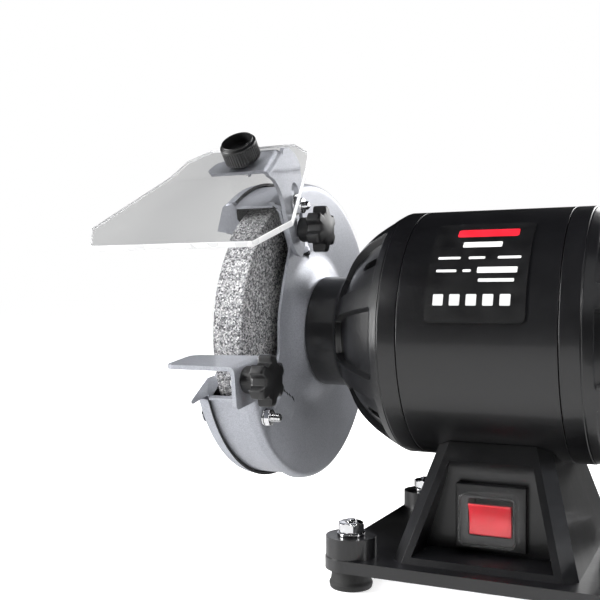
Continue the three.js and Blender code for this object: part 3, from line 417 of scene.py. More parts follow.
SILVER = silver_paint()
TUBE_BLACK = black_paint("tube_black", "black_gloss", 0.36, 0.04, 0.01)
CAST_BLACK = black_paint("cast_black", "black_cast", 0.36, 0.12, 0.04)
GRIT = abrasive_grain()
CHROME = plated_steel("chrome", "bright_steel", (0.62, 0.62, 0.63), (0.78, 0.78, 0.79), 0.12)
CLEAR = clear_plastic("shield_clear", (0.5, 0.505, 0.51), (0.76, 0.76, 0.76))
CAP_CLEAR = clear_plastic("cap_clear", (0.93, 0.93, 0.93), (0.97, 0.97, 0.97))
PAINTED_EDGE_GLOW = clear_edge_painted_glow()
COPPER = wound_copper()
CORE = stacked_steel()

# Each: name, slot, darkest and lightest tone, roughness, depth of the grain.
MOULDINGS = [
    # painted shade: this near-black tone stands in for the shadow inside the guard
    ("painted_inside_shade", "grey_paint", (0.01, 0.01, 0.011), (0.03, 0.03, 0.032), 0.7, 0.1),
    ("knob_plastic", "black_plastic", (0.004, 0.004, 0.0045), (0.009, 0.009, 0.0095), 0.38, 0.02),
    ("plate_film", "black_plate", (0.003, 0.003, 0.0035), (0.006, 0.006, 0.0065), 0.46, 0.06),
    ("plate_white", "black_plate", (0.6, 0.6, 0.6), (0.75, 0.75, 0.75), 0.45, 0.02),
    ("plate_red", "black_plate", (0.5, 0.01, 0.02), (0.62, 0.015, 0.03), 0.45, 0.02),
    ("switch_red", "red_plastic", (0.5, 0.006, 0.015), (0.65, 0.01, 0.025), 0.22, 0.02),
    ("foot_rubber", "foot_rubber", (0.01, 0.01, 0.01), (0.02, 0.02, 0.02), 0.75, 0.06),
]
mouldings = [moulded_plastic(*moulding) for moulding in MOULDINGS]
INSIDE_SHADE, KNOB_PLASTIC, PLATE_FILM, PLATE_WHITE, PLATE_RED, SWITCH_RED, RUBBER = mouldings

# ---------- sizes read from the frame ----------
housing_high = span("stator_housing")[1]
bell_low, bell_high = span("end_bell_right")
wheel_low, wheel_high = span("grinding_wheel_right")
pan_low, pan_high = span("guard_pan_right")
cover_low, cover_high = span("outer_cover_right")
motor_radius = housing_high[2]
wheel_radius = wheel_high[2]
guard_radius = wheel_radius + 9  # room for the wheel inside the rim
guard_sheet = 1.5
rim_radius = guard_radius + 1
cover_dome = 8
cover_face = cover_high[0] - cover_dome
pan_face = wheel_low[0] - 8.7  # the pan stands this far in from the wheel
neck_radius = 31


# ---------- motor ----------
def motor_tube():
    """A tube: a rounded rectangle of wall thickness by length, turned about the spindle."""
    half = housing_high[0]
    inner = motor_radius - 3.3
    wall = [(-half, inner), (-half, motor_radius), (half, motor_radius), (half, inner)]
    x, r = refined(eased(wall, 0.5, closed=True), 6).T
    obj = piece("motor_tube", [(spun(x, r, columns=180), True)])
    finish(obj, "frame", TUBE_BLACK, ["stator_housing"])


POCKETS = 8
POCKET_TURN = np.radians(4)
POCKET_DEPTH = 3.6
VENT_DEPTH = 7.5
VENT_LONG = 12
VENT_WIDE = 5


def bell_grid():
    """The bell's closed profile turned about the spindle, with the pockets and air slots pushed inwards.
    Columns follow the pocket edges: u runs from -1 to 1 across a pocket and on to the next one's edge,
    and the depth is smooth((1 - |u|) / wall) times smooth steps at the pocket's two ends."""
    rim_start = bell_low[0]
    rim_end = rim_start + 9.75
    dome = np.array([(0, 1), (0.211, 0.892), (0.511, 0.711), (0.791, 0.455), (1, 0.102)])
    dome_x = rim_end + 35 * dome[:, 0]
    dome_r = neck_radius + dome[:, 1] * (motor_radius - neck_radius)
    outside = eased([
        (rim_start, motor_radius - 5), (rim_start, motor_radius), (rim_end - 0.5, motor_radius),
        (rim_end, motor_radius - 0.5), (rim_end + 0.5, motor_radius - 0.3),
        *zip(dome_x[1:], dome_r[1:]), (dome_x[-1] + 1.6, neck_radius), (bell_high[0], neck_radius),
        (bell_high[0], 13),
    ], [0, 0.5, 0.2, 0.2, 0.4, 5, 6, 6, 2.5, 2.5, 1, 0])
    pocket = (outside[:, 0] > rim_end + 4) & (outside[:, 0] < dome_x[-1] + 1)
    first, last = np.flatnonzero(pocket)[[0, -1]]
    fine = refined(outside[first:last + 1], 0.7)
    outside = np.vstack([refined(outside[:first + 1], 5), fine[1:-1], refined(outside[last:], 5)])
    inside = np.array([(dome_x[-1] - 2, 18), (dome_x[-1] - 6, dome_r[-1] - 6), (rim_end, motor_radius - 8)])
    x, r = np.vstack([outside, inside, outside[:1]]).T
    u_vent = np.linspace(0, 0.26, 12)
    u_wall = np.array([0.34, 0.5, 0.7, 0.85, 0.9, 0.925, 0.95, 0.975, 1.0])
    u_half = np.concatenate([u_vent, u_wall])
    u_land = np.array([0.2, 0.5, 0.8])
    half_angle = np.arctan(0.371 * (1 - 10 / np.maximum(r, 12)))[:, None]
    across = np.concatenate([-u_half[:0:-1], u_half])[None, :]
    pitch = TURN / POCKETS
    land = half_angle + (pitch - 2 * half_angle) * u_land[None, :]
    one = np.concatenate([across * half_angle, land], 1)
    u = np.concatenate([np.repeat(across, len(x), 0), np.full(land.shape, 2.0)], 1)
    turns = POCKET_TURN + pitch * np.arange(POCKETS)
    angles = (one[:, None, :] + turns[None, :, None]).reshape(len(x), -1)
    u = np.tile(u, (1, POCKETS))
    run = np.concatenate([[0], np.cumsum(np.hypot(np.diff(x), np.diff(r)))])
    outer = np.arange(len(x)) < len(outside) - 1
    start = np.interp(rim_end + 5.2, x[outer], run[outer])
    stop = np.interp(dome_x[-1] - 0.3, x[outer], run[outer])
    ends = smooth((run - start) / 1.1) * smooth((stop - run) / 2.5) * outer
    depth = POCKET_DEPTH * smooth((1 - np.abs(u)) / 0.085) * ends[:, None]
    vented = (np.arange(POCKETS) % 2 == 1).repeat(one.shape[1])[None, :]
    middle = np.interp(rim_end + 13, x[outer], run[outer])
    beyond = np.maximum(np.abs(run - middle)[:, None] - (VENT_LONG - VENT_WIDE) / 2, 0)
    sideways = u * half_angle * r[:, None]
    edge = VENT_WIDE / 2 - np.hypot(beyond, sideways)
    depth = depth + VENT_DEPTH * smooth((edge + 0.3) / 0.8) * vented * outer[:, None]
    x_all = x[:, None] - 0.55 * depth
    r_all = r[:, None] - 0.83 * depth
    return np.stack([x_all, r_all * np.cos(angles), r_all * np.sin(angles)], -1)


def end_bell(name, side):
    obj = piece(f"bell_{name}", [(bell_grid(), True)], side)
    finish(obj, "frame", CAST_BLACK, [f"end_bell_{name}"], sharp=50)


def curved_patch(x_low, x_high, angle_low, angle_high, radius, corner):
    """A patch on a cylinder about the spindle, with rounded corners: each row's half width is that of a
    rounded rectangle at that height. Angles are degrees above the front horizontal."""
    middle = (x_low + x_high) / 2
    half = (x_high - x_low) / 2
    low, high = np.radians([180 - angle_high, 180 - angle_low]) * radius
    ends = corner * (1 - np.cos(np.linspace(0, np.pi / 2, 8)))
    between = np.linspace(low + corner, high - corner, 30)
    along = np.unique(np.concatenate([low + ends, between, high - ends]))
    into = np.clip(corner - np.minimum(along - low, high - along), 0, corner)
    width = half - corner + np.sqrt(corner ** 2 - into ** 2)
    u = np.linspace(-1, 1, 9)
    t = along / radius
    x = middle + width[:, None] * u[None, :]
    ones = np.ones_like(x)
    return np.stack([x, radius * np.cos(t)[:, None] * ones, radius * np.sin(t)[:, None] * ones], -1)


def rating_plate():
    """A blank printed plate: a rounded film with a border, one red bar and rows of plain white bars."""
    low, high = span("rating_plate")
    film = 0.5
    radius = motor_radius + 0.3 + film / 2
    bottom, top = 6, 57
    obj = piece("rating_plate_film", [(curved_patch(low[0], high[0], bottom, top, radius, 3), False)])
    finish(thicken(obj, film), "frame", PLATE_FILM, ["rating_plate"])
    print_radius = radius + film / 2 + 0.02
    # Each bar: where it starts and stops up the plate, as shares, and its left and right ends.
    rows = [
        (0.68, 0.74, -9, 10), (0.555, 0.58, -20, -9), (0.555, 0.58, -5, 3), (0.555, 0.58, 9, 20),
        (0.43, 0.455, -20, -10), (0.43, 0.455, -7, -3), (0.42, 0.475, 0, 19), (0.34, 0.37, 1, 18),
    ]
    rows += [(0.14, 0.235, left, left + 5) for left in (-20, -12, -4, 4, 12)]
    bars = []
    for start, stop, left, right in rows:
        angles = bottom + (top - bottom) * start, bottom + (top - bottom) * stop
        bars.append((curved_patch(left, right, *angles, print_radius, 0.5), False))
    white = piece("rating_plate_bars", bars)
    finish(thicken(white, 0.06), "frame", PLATE_WHITE)
    stripe = curved_patch(-13, 17, bottom + 41, bottom + 46, print_radius, 1.2)
    red = piece("rating_plate_band", [(stripe, False)])
    finish(thicken(red, 0.06), "frame", PLATE_RED)


# ---------- wheel ----------
def wheel(name, side):
    """A disc with a bore; its rim and the outer part of its faces are roughened by seeded noise that
    moves each point along its own normal by up to a tenth of a millimetre or so."""
    bore = 6.35
    x0, x1 = wheel_low[0], wheel_high[0]
    corners = [(x0, bore), (x0, wheel_radius), (x1, wheel_radius), (x1, bore)]
    section = eased(corners, [0, 0.9, 0.9, 0], True)
    coarse = refined(section, 0.85)
    keep = (coarse[:, 1] > wheel_radius - 13) | (np.arange(len(coarse)) % 8 == 0)
    keep[[0, -1]] = True
    x, r = coarse[keep].T
    columns = 540
    chance = np.random.default_rng(11)
    rough = chance.normal(0, 0.11, (len(x), columns)).clip(-0.28, 0.1)
    worked = smooth((r - (wheel_radius - 13)) / 2)[:, None]
    on_rim = smooth((r - (wheel_radius - 1)) / 0.8)[:, None]
    outward_x = np.sign(x - (x0 + x1) / 2)[:, None]
    x_all = x[:, None] + rough * worked * (1 - on_rim) * outward_x
    r_all = r[:, None] + rough * worked * on_rim
    obj = piece(f"wheel_{name}", [(spun(x_all, r_all, columns=columns), True)], side)
    finish(obj, "spindle", GRIT, [f"grinding_wheel_{name}"], sharp=60)


# ---------- guard ----------
def of_guard(y, z):
    return np.array([y, z]) * guard_radius


def on_circle(radius, degrees):
    return np.array([np.cos(np.radians(degrees)), np.sin(np.radians(degrees))]) * radius


OPEN_TOP = 126
OPEN_LOW = 202.5
PAN_CUT = of_guard(-0.42, 0.542), of_guard(-0.583, -0.171)
COVER_CUT = of_guard(-0.468, 0.662), of_guard(-0.717, -0.315)


def opening_edge(top, low):
    """The edge of the guard's front opening as rising angles and the radius at each: straight from the
    rim to the top corner, on to the lip, round a soft bend and out to the rim again."""
    start = on_circle(guard_radius, OPEN_TOP) + (-2, 2.4)
    stop = on_circle(guard_radius, OPEN_LOW)
    lip = of_guard(-0.507, 0.333)
    waist = of_guard(-0.579, -0.032)
    chain = eased([start * 1.06, start, top, lip, waist + (0, 12), waist, low, stop, stop * 1.06],
                  [0, 0, 3, 6, 12, 6, 6, 0, 0])
    y, z = refined(chain, 1.6).T
    angles = np.mod(np.arctan2(z, y), TURN)
    order = np.argsort(angles)
    return angles[order], np.hypot(y, z)[order]


def pad(y, z, corners, height, slope):
    """The height of a pressed pad: smooth(distance inside the outline's nearest side / slope)."""
    c = np.asarray(corners)
    side = np.roll(c, -1, 0) - c
    normal = np.stack([-side[:, 1], side[:, 0]], 1) / np.linalg.norm(side, axis=1)[:, None]
    middle = c.mean(0)
    normal *= np.sign(((middle - c) * normal).sum(1))[:, None]
    inside = (y[..., None] - c[:, 0]) * normal[:, 0] + (z[..., None] - c[:, 1]) * normal[:, 1]
    return height * smooth(inside.min(-1) / slope)


def guard_sheet_grid(profile, cut_corners, columns=300):
    """A pressed sheet turned about the spindle, with each column stopped where the front opening begins:
    the distance along the profile is the smaller of the row's own and the opening's at that angle."""
    edge_angles, edge_radii = opening_edge(*cut_corners)
    even = np.linspace(0, TURN, columns, endpoint=False)
    away = (even < edge_angles[0] - 0.01) | (even > edge_angles[-1] + 0.01)
    angles = np.concatenate([even[away], edge_angles])
    radii = np.concatenate([np.full(away.sum(), 1e3), edge_radii])
    order = np.argsort(angles, kind="stable")
    angles, radii = angles[order], radii[order]
    run = lengths_along(profile)
    x, r = profile.T
    limit = np.where(radii > r.max(), run[-1], np.interp(radii, np.maximum.accumulate(r), run))
    along = np.minimum(run[:, None], limit[None, :])
    x_all = np.interp(along, run, x)
    r_all = np.interp(along, run, r)
    return x_all, r_all * np.cos(angles), r_all * np.sin(angles)


def paint_inside_shade(obj, side, outer_way):
    """Gives a guard sheet's inner faces a near-black painted shade for the shadow inside the guard: those
    that face the spindle, or that face along x against the sheet's outer way (1 for the outboard side, -1
    for the motor side)."""
    mesh = obj.data
    mesh.materials.append(INSIDE_SHADE)
    values = np.empty((2, 3 * len(mesh.polygons)))
    mesh.polygons.foreach_get("normal", values[0])
    mesh.polygons.foreach_get("center", values[1])
    normal, centre = values.reshape(2, -1, 3)
    arm = centre[:, 1:] - spindle[1:] * MM
    inward = -(normal[:, 1:] * arm).sum(1) / np.linalg.norm(arm, axis=1)
    against = -normal[:, 0] * side * outer_way
    # the faces picked here get the painted shade of the guard's inside
    mesh.polygons.foreach_set("material_index", (np.maximum(inward, against) > 0.35).astype(np.int32))


def guard_pan(name, side):
    """The inner half of the guard: a cone rising to the bell's neck, a flat with two pressed pads, and a
    turned rim."""
    half = guard_sheet / 2
    face = pan_face + half
    neck_face = pan_low[0] + half
    profile = eased([
        (neck_face, 16), (neck_face, neck_radius - 0.5), (face, 41), (face, guard_radius - half),
        (pan_high[0], rim_radius - half),
    ], [0, 2.5, 5, 2.2, 0])
    x, y, z = guard_sheet_grid(refined(profile, 1.5), PAN_CUT, columns=330)
    low_pad = [of_guard(*c) for c in ((-0.63, -0.32), (-0.38, -0.43), (-0.4, -0.56), (-0.67, -0.475))]
    high_pad = [of_guard(*c) for c in ((-0.293, 0.524), (-0.167, 0.595), (-0.143, 0.5))]
    x = x - pad(y, z, low_pad, 1.6, 2.2) - pad(y, z, high_pad, 2.2, 2.2)
    obj = piece(f"guard_pan_skin_{name}", [(np.stack([x, y, z], -1), True)], side)
    bevel(thicken(obj, guard_sheet), 0.35, 2, 50)
    finish(obj, "frame", SILVER, [f"guard_pan_{name}"], sharp=60)
    paint_inside_shade(obj, side, -1)


def outer_cover(name, side):
    """The outer half of the guard: a raised round dome, a flat and a turned rim."""
    half = guard_sheet / 2
    face = cover_face - half
    crown = cover_high[0] - half
    profile = eased([
        (crown, 0.01), (crown, 45), (face, 55), (face, guard_radius - half),
        (cover_low[0], rim_radius - half),
    ], [0, 7, 7, 2.2, 0])
    grid = np.stack(guard_sheet_grid(refined(profile, 3), COVER_CUT, columns=240), -1)
    obj = piece(f"guard_cover_{name}", [(grid, True)], side)
    bevel(thicken(obj, guard_sheet), 0.35, 2, 50)
    finish(obj, "frame", SILVER, [f"outer_cover_{name}"], sharp=60)
    paint_inside_shade(obj, side, 1)


def guard_band(name, side):
    """The rolled strip between the two halves: a path in Y-Z, from a turned-out lip round to the top of
    the opening, carried along x between limits that narrow at the lip."""
    low, high = span(f"guard_band_{name}")
    if side < 0:
        low, high = -high * (1, -1, -1), -low * (1, -1, -1)
    sheet = 1.4
    middle = guard_radius - 1.2 - sheet / 2
    lip_top = on_circle(guard_radius + 1.7, OPEN_LOW + 0.5)
    bend = on_circle(middle, OPEN_LOW + 0.5)
    t = np.linspace(OPEN_LOW + 2.5, 360 + OPEN_TOP, 220)
    arc = np.stack(on_circle(middle, t), 1)
    path = np.vstack([eased([lip_top, bend, arc[0]], 1.2), arc[1:]])
    lip = np.hypot(*path.T) > middle + 0.2
    start = np.where(lip, low[0] + 3, low[0])
    stop = np.where(lip, high[0] - 3.6, high[0])
    share = np.linspace(0, 1, 9)
    x = start[:, None] + (stop - start)[:, None] * share
    y = np.repeat(path[:, :1], len(share), 1)
    z = np.repeat(path[:, 1:], len(share), 1)
    obj = piece(f"guard_band_strip_{name}", [(np.stack([x, y, z], -1), False)], side)
    bevel(thicken(obj, sheet), 0.3, 2, 50)
    finish(obj, "frame", SILVER, [f"guard_band_{name}"], sharp=60)
    paint_inside_shade(obj, side, 0)


# ---------- fixings ----------
THREAD_CHAMFER = 0.8


def threaded(start, stop, radius, pitch, origin=(0, 0, 0), axis=(1, 0, 0)):
    """A screw thread: the radius falls by a triangle wave of (height / pitch - angle / turn), and both
    ends are closed and chamfered."""
    rows = int(abs(stop - start) / (pitch / 6)) + 2
    columns = 24
    h = np.linspace(start, stop, rows)[:, None]
    t = np.arange(columns)[None, :] * TURN / columns
    wave = np.abs(2 * np.mod((h - start) / pitch - t / TURN, 1) - 1)
    from_end = np.minimum(h - min(start, stop), max(start, stop) - h)
    r = np.minimum(radius - 0.5 * pitch * wave, radius - THREAD_CHAMFER + from_end)
    h_all = np.vstack([h[:1] + 0 * t, h + 0 * t, h[-1:] + 0 * t])
    r_all = np.vstack([0 * t, r, 0 * t])
    return spun(h_all, r_all, origin, axis, columns=columns), True


def hex_nut(start, stop, across, bore, origin=(0, 0, 0), axis=(1, 0, 0)):
    """A nut: radius (across / 2) / cos(angle from the middle of the flat), cut by a cone at both ends."""
    columns = 72
    t = np.arange(columns) * TURN / columns
    flat = across / 2 / np.cos(np.mod(t, TURN / 6) - TURN / 12)
    rise = 0.12 * across
    h = np.concatenate([np.linspace(0, rise, 6), np.linspace(stop - start - rise, stop - start, 6)])
    cone = across / 2 * 0.93 + np.minimum(h, stop - start - h) * 1.7
    r = np.minimum(flat[None, :], cone[:, None])
    hole = np.full((1, columns), bore)
    h_all = np.concatenate([[0], h, [stop - start, 0]]) + start
    return spun(h_all, np.vstack([hole, r, hole, hole]), origin, axis, columns=columns), True


def round_head(start, height, radius, origin=(0, 0, 0)):
    """A low domed head: a flat underside, an upright edge and a crown of height 1 - (r / R)^2."""
    crown = np.linspace(1, 0, 8)
    h = np.concatenate([[0, 0, 0.25 * height], height * (0.25 + 0.75 * (1 - crown ** 2))])
    r = np.concatenate([[0, 1, 1], crown]) * radius
    return spun(h + start, r, origin, columns=36), True


def washer(start, stop, radius, bore, origin=(0, 0, 0), axis=(1, 0, 0)):
    h, r = eased([(start, bore), (start, radius), (stop, radius), (stop, bore)], 0.2, closed=True).T
    return spun(h, r, origin, axis, columns=40), True


def at_middle(node):
    """The middle of a CAD node in Y-Z, as a point on the plane x = 0."""
    low, high = span(node)
    return np.array([0, (low[1] + high[1]) / 2, (low[2] + high[2]) / 2])


def x_span(node, side):
    """Where a node starts and stops along x, measured outwards from the middle of the spindle."""
    low, high = span(node)
    return sorted((side * low[0], side * high[0]))


def cover_bolt(name, side, which):
    """The long screw through the guard: a thread and nut on the motor side, a domed head outside."""
    node = f"cover_bolt_{which}_{name}"
    place = at_middle(node)
    start, stop = x_span(node, side)
    nut_stop = pan_face - 0.3
    head = cover_face + 0.3
    grids = [
        threaded(start, cover_face - 12, 2.3, 0.8, place),
        hex_nut(nut_stop - 4, nut_stop - 0.8, 8, 2.2, place),
        washer(nut_stop - 0.8, nut_stop, 4.6, 2.2, place),
        round_head(head, stop - head, 4.4, place),
        (spun(np.array([-14, -14, 1.0, 1.0]) + cover_face, [0, 2.2, 2.2, 0], place, columns=24), True),
    ]
    obj = piece(f"guard_screw_{which}_{name}", grids, side)
    finish(obj, "frame", CHROME, [node])


def carriage_bolt(name, side, node, body):
    """A round-headed bolt whose thread ends inside the star knob."""
    place = at_middle(f"{node}_{name}")
    start, stop = x_span(f"{node}_{name}", side)
    head = stop - 2.6
    grids = [threaded(start, head + 0.5, 2.9, 1.0, place), round_head(head, stop - head, 5, place)]
    obj = piece(f"{node}_thread_{name}", grids, side)
    finish(obj, body, CHROME, [f"{node}_{name}"])


def bracket_bolt(name, side):
    """The bolt in the bracket's upper slot: a small head, a washer, a nut and the thread's end."""
    node = f"bracket_bolt_{name}"
    place = at_middle(node)
    start, stop = x_span(node, side)
    washer_stop = start + 8
    grids = [
        threaded(start, stop - 1.6, 2.45, 0.8, place),
        hex_nut(washer_stop - 5, washer_stop - 1, 8, 2.3, place),
        washer(washer_stop - 1, washer_stop, 5.1, 2.3, place),
        round_head(stop - 1.8, 1.8, 3, place),
    ]
    finish(piece(f"bracket_screw_{name}", grids, side), "frame", CHROME, [node])


# ---------- knobs ----------
def star_knob(name, side, node, body):
    """A six-lobed knob: each profile row has a radius, and on the star rows a share of the lobe wave
    smooth(cos(6 t) and a little) is added, so that the hub stays round and the star's face is domed."""
    place = at_middle(f"{node}_{name}")
    start, stop = x_span(f"{node}_{name}", side)
    columns = 192
    t = np.arange(columns) * TURN / columns
    lobe = smooth((np.cos(6 * (t - TURN / 4)) + 0.55) / 1.1)
    hub = stop - 8
    # Each row: distance along x, radius in the valleys, extra radius on the lobes.
    rows = np.array([
        (stop, 3.4, 0), (stop, 5.6, 0), (stop - 0.3, 6.4, 0), (stop - 0.9, 6.75, 0), (hub + 1.9, 6.75, 0),
        (hub + 1.5, 7.0, 0), (hub + 1.3, 7.35, 0), (hub + 0.5, 7.4, 0.6), (hub, 7.6, 1.6), (hub, 8.4, 3.1),
        (hub - 0.2, 8.8, 3.4), (hub - 0.7, 9.0, 3.5), (start + 3.2, 9.0, 3.5), (start + 2.3, 9.0, 3.35),
        (start + 1.7, 9.0, 2.9), (start + 1.3, 8.9, 2.2), (start + 1.15, 8.6, 1.6),
        (start + 0.85, 8.0, 0.5),
        (start + 0.5, 6.5, 0), (start + 0.15, 4, 0), (start, 1.6, 0), (start, 0, 0),
    ])
    x = rows[:, 0]
    r = rows[:, 1:2] + rows[:, 2:3] * lobe[None, :]
    bore_x = np.array([stop - 10.5, stop - 10.5])
    bore_r = np.array([[0.0], [3.2]]) + 0 * t
    x_all = np.concatenate([bore_x, [stop - 0.4], x])
    r_all = np.vstack([bore_r, np.full((1, columns), 3.2), r])
    obj = piece(f"{node}_star_{name}", [(spun(x_all, r_all, place, columns=columns), True)], side)
    finish(obj, body, KNOB_PLASTIC, [f"{node}_{name}"], sharp=38)


# ---------- shield ----------
TOP_SLOPE = np.radians(41.4)
MAIN_SLOPE = np.radians(32.7)
TOP_ALONG = np.array([np.cos(TOP_SLOPE), np.sin(TOP_SLOPE)])
TOP_UP = np.array([-np.sin(TOP_SLOPE), np.cos(TOP_SLOPE)])
MAIN_ALONG = np.array([np.cos(MAIN_SLOPE), np.sin(MAIN_SLOPE)])
MAIN_UP = np.array([-np.sin(MAIN_SLOPE), np.cos(MAIN_SLOPE)])
TOP_LENGTH = 24.2
MAIN_LENGTH = 73.9
SHIELD_SHEET = 3
ARM_SHEET = 2.2
stud = at_middle("bracket_stud_right")[1:]
upper_bolt = at_middle("bracket_bolt_right")[1:]
crease = stud + (-41.2, 25.7)
shield_centre = wheel_low[0] + 3.6
arm_inner = pan_face - 4.4


def on_top(distance, offset):
    """A point in Y-Z up the slope from the crease, and off the middle of the shield's sheet."""
    return crease + np.multiply.outer(distance, TOP_ALONG) + np.multiply.outer(offset, TOP_UP)


def eye_shield(name, side):
    """The bent clear sheet: a path in Y-Z with a soft crease, carried across x, with the half width at
    each station read from the sheet's outline."""
    front = crease - MAIN_LENGTH * MAIN_ALONG
    path = refined(eased([front, crease, on_top(TOP_LENGTH, 0.0)], 2.5), 3)
    back_y = path[-1, 0]
    rise = back_y - crease[0]
    corner_y = crease[0] - (MAIN_LENGTH - 18.6) * MAIN_ALONG[0]
    outline_y = [front[0] - 3, corner_y, back_y - 0.97 * rise, back_y - 0.38 * rise, back_y]
    outline_x = [41.3, 55, 39.9, 36.3, 24.8]
    run = lengths_along(path)
    corners = np.interp([corner_y, back_y - 0.97 * rise, back_y - 0.38 * rise], path[:, 0], run)
    stations = np.unique(np.concatenate([run, corners]).round(4))
    y, z = (np.interp(stations, run, path[:, k]) for k in (0, 1))
    width = np.interp(y, outline_y, outline_x)
    u = np.linspace(-1, 1, 21)
    x = shield_centre + width[:, None] * u
    grid = np.stack([x, y[:, None] + 0 * x, z[:, None] + 0 * x], -1)
    obj = piece(f"shield_clear_{name}", [(grid, False)], side)
    bevel(thicken(obj, SHIELD_SHEET), 0.45, 3, 40)
    finish(obj, f"shield_sheet_{name}", CLEAR, [f"eye_shield_{name}"], sharp=25)
    mesh = obj.data
    # the sheet's edge faces get the painted near-white glow
    mesh.materials.append(PAINTED_EDGE_GLOW)
    normals = np.empty(3 * len(mesh.polygons))
    mesh.polygons.foreach_get("normal", normals)
    normals = normals.reshape(-1, 3)
    faces_up = np.abs(normals[:, 1:] @ np.stack([TOP_UP, MAIN_UP], 1)).max(1)
    mesh.polygons.foreach_set("material_index", (faces_up < 0.9).astype(np.int32))


def stadium(a, b, radius):
    """A slot's outline: two half circles about a and b, joined by straight sides."""
    along = np.arctan2(b[1] - a[1], b[0] - a[0])
    half = np.linspace(-np.pi / 2, np.pi / 2, SLOT_END_POINTS)
    ends = [(b, along + half), (a, along + np.pi + half)]
    return np.vstack([np.array(c) + radius * np.stack([np.cos(t), np.sin(t)], 1) for c, t in ends])


def prism_cutter(outline, x0, x1, side):
    """A closed prism along x with a Y-Z outline, used as a cutting tool."""
    ring = np.stack([np.stack([np.full(len(outline), x), *outline.T], 1) for x in (x0, x1)])
    return piece("cutter", [(ring, True)], side, flats=[ring[0], ring[1]])


# The arm's edge below its flange, as run and rise from the stud.
ARM_EDGE = [
    (-4.5, 39.4), (1.5, 34.5), (1.2, 22), (6.5, 4), (7.5, -6), (5, -13), (2, -14.6), (-3, -13.7),
    (-8.8, -8.2), (-13.6, -0.8), (-15.8, 4.2), (-18.1, 11.6), (-22.6, 17.7), (-29, 22.6),
]


def shield_bracket(name, side):
    """A bent bracket: the flange under the shield runs in x to a quarter-round bend, whose last row is
    the top edge of the upright arm's outline. Two slots are cut through the arm."""
    offset = -SHIELD_SHEET / 2 - 0.3 - ARM_SHEET / 2
    arm_x = arm_inner + ARM_SHEET / 2
    bend = 2.6
    flange_end = cover_face - 2
    quarter = np.linspace(0, np.pi / 2, 7)
    flat_x = np.array([flange_end, flange_end - 1.5, flange_end - 3, 132, 125, 116, 111])
    x = np.concatenate([flat_x, arm_x + bend - bend * np.sin(quarter)])
    drop = np.concatenate([np.zeros(len(flat_x)), bend - bend * np.cos(quarter)])
    front = np.interp(x, [flange_end - 3, flange_end], [3.2, 6.7])
    back = np.interp(x, [116, flange_end - 2, flange_end], [23.2, 13.3, 6.9])
    share = np.linspace(0, 1, 13)
    along = front[:, None] + (back - front)[:, None] * share
    yz = on_top(along, (offset - drop)[:, None] + 0 * along)
    strip = np.concatenate([x[:, None, None] + 0 * along[..., None], yz], -1)
    top_edge = strip[-1]
    lower = np.vstack([[on_top(24.6, offset - bend + 1.2), on_top(29.0, offset + 0.6)], stud + ARM_EDGE])
    ring = np.vstack([top_edge[-1:, 1:], lower, top_edge[:1, 1:]])
    curve = eased(ring, 2.8)
    outline = np.vstack([top_edge[:, 1:], curve[1:-1]])
    arm = np.column_stack([np.full(len(outline), arm_x), outline])
    obj = piece(f"bracket_sheet_{name}", [(strip, False)], side, flats=[arm])
    thicken(obj, ARM_SHEET)
    slots = []
    for place in (upper_bolt, stud):
        outline = stadium(place, place + (0, 8), 3.4)
        slots.append(prism_cutter(outline, arm_inner - 5, arm_inner + 5, side))
    cut(obj, slots)
    bevel(obj, 0.35, 2, 50)
    finish(obj, f"shield_arm_{name}", SILVER, [f"shield_bracket_{name}"], sharp=40)
    seat = (shield_centre, *on_top(TOP_LENGTH / 2, offset - ARM_SHEET / 2))
    up = (0, *TOP_UP)
    nut = piece(f"weld_nut_{name}", [hex_nut(-3.8, 0.1, 9, 2.6, seat, up)], side)
    finish(nut, f"shield_arm_{name}", CHROME)


def shield_knob(name, side):
    """The thumb knob: a ribbed drum with a plain collar at its top, a raised inner ring and a hollow,
    and its stud. The ribs are a sharpened cosine taken off the radius on the drum's rows."""
    columns = 336
    ribs = 42
    t = np.arange(columns) * TURN / columns
    groove = 0.5 * (1 + np.cos(ribs * t)) ** 1.5 / 2 ** 1.5
    # Each row: height, radius, share of the rib depth.
    rows = np.array([
        (0, 0.01, 0), (0, 8.6, 0), (0.35, 9.15, 0.2), (0.9, 9.6, 1), (2, 9.65, 1), (5, 9.7, 1),
        (8.3, 9.7, 1),
        (8.6, 9.7, 0.3), (8.8, 9.7, 0), (9.3, 9.68, 0), (9.8, 9.45, 0), (10.05, 9.1, 0), (10.1, 8.75, 0),
        (10.3, 8.55, 0), (11, 8.5, 0), (11.3, 8.3, 0), (11.4, 8.0, 0), (11.3, 7.75, 0), (11, 7.6, 0),
        (6.4, 7.3, 0), (5.6, 6.7, 0), (5.4, 5.8, 0), (5.4, 0.01, 0),
    ])
    r = rows[:, 1:2] - 0.75 * rows[:, 2:3] * groove[None, :]
    seat = (shield_centre, *on_top(TOP_LENGTH / 2, SHIELD_SHEET / 2 + 0.3))
    up = (0, *TOP_UP)
    stud_length = SHIELD_SHEET + ARM_SHEET + 4 + 0.6 + 2
    drum = spun(rows[:, 0], r, seat, up, columns=columns), True
    obj = piece(f"thumb_knob_{name}", [drum], side)
    finish(obj, f"shield_handle_{name}", KNOB_PLASTIC, [f"shield_knob_{name}"], sharp=38)
    screw = piece(f"thumb_screw_{name}", [threaded(-stud_length, 0.6, 2.35, 0.8, seat, up)], side)
    finish(screw, f"shield_handle_{name}", CHROME)


# ---------- tool rest ----------
REST_SLOPE = np.radians(8)
rest_pivot = at_middle("rest_bolt_right")[1:]
rest_flange = pan_face - 4.8
REST_SHEET = 2.2
REST_FRONT = -9.6
REST_BACK = 18.3
REST_TOP = 8.2
REST_DROP = 13


def corner_inset(distance, radius):
    """How far a rounded corner pulls an edge in, at a distance from the end of the edge."""
    near = np.clip(radius - distance, 0, radius)
    return radius - np.sqrt(radius ** 2 - near ** 2)


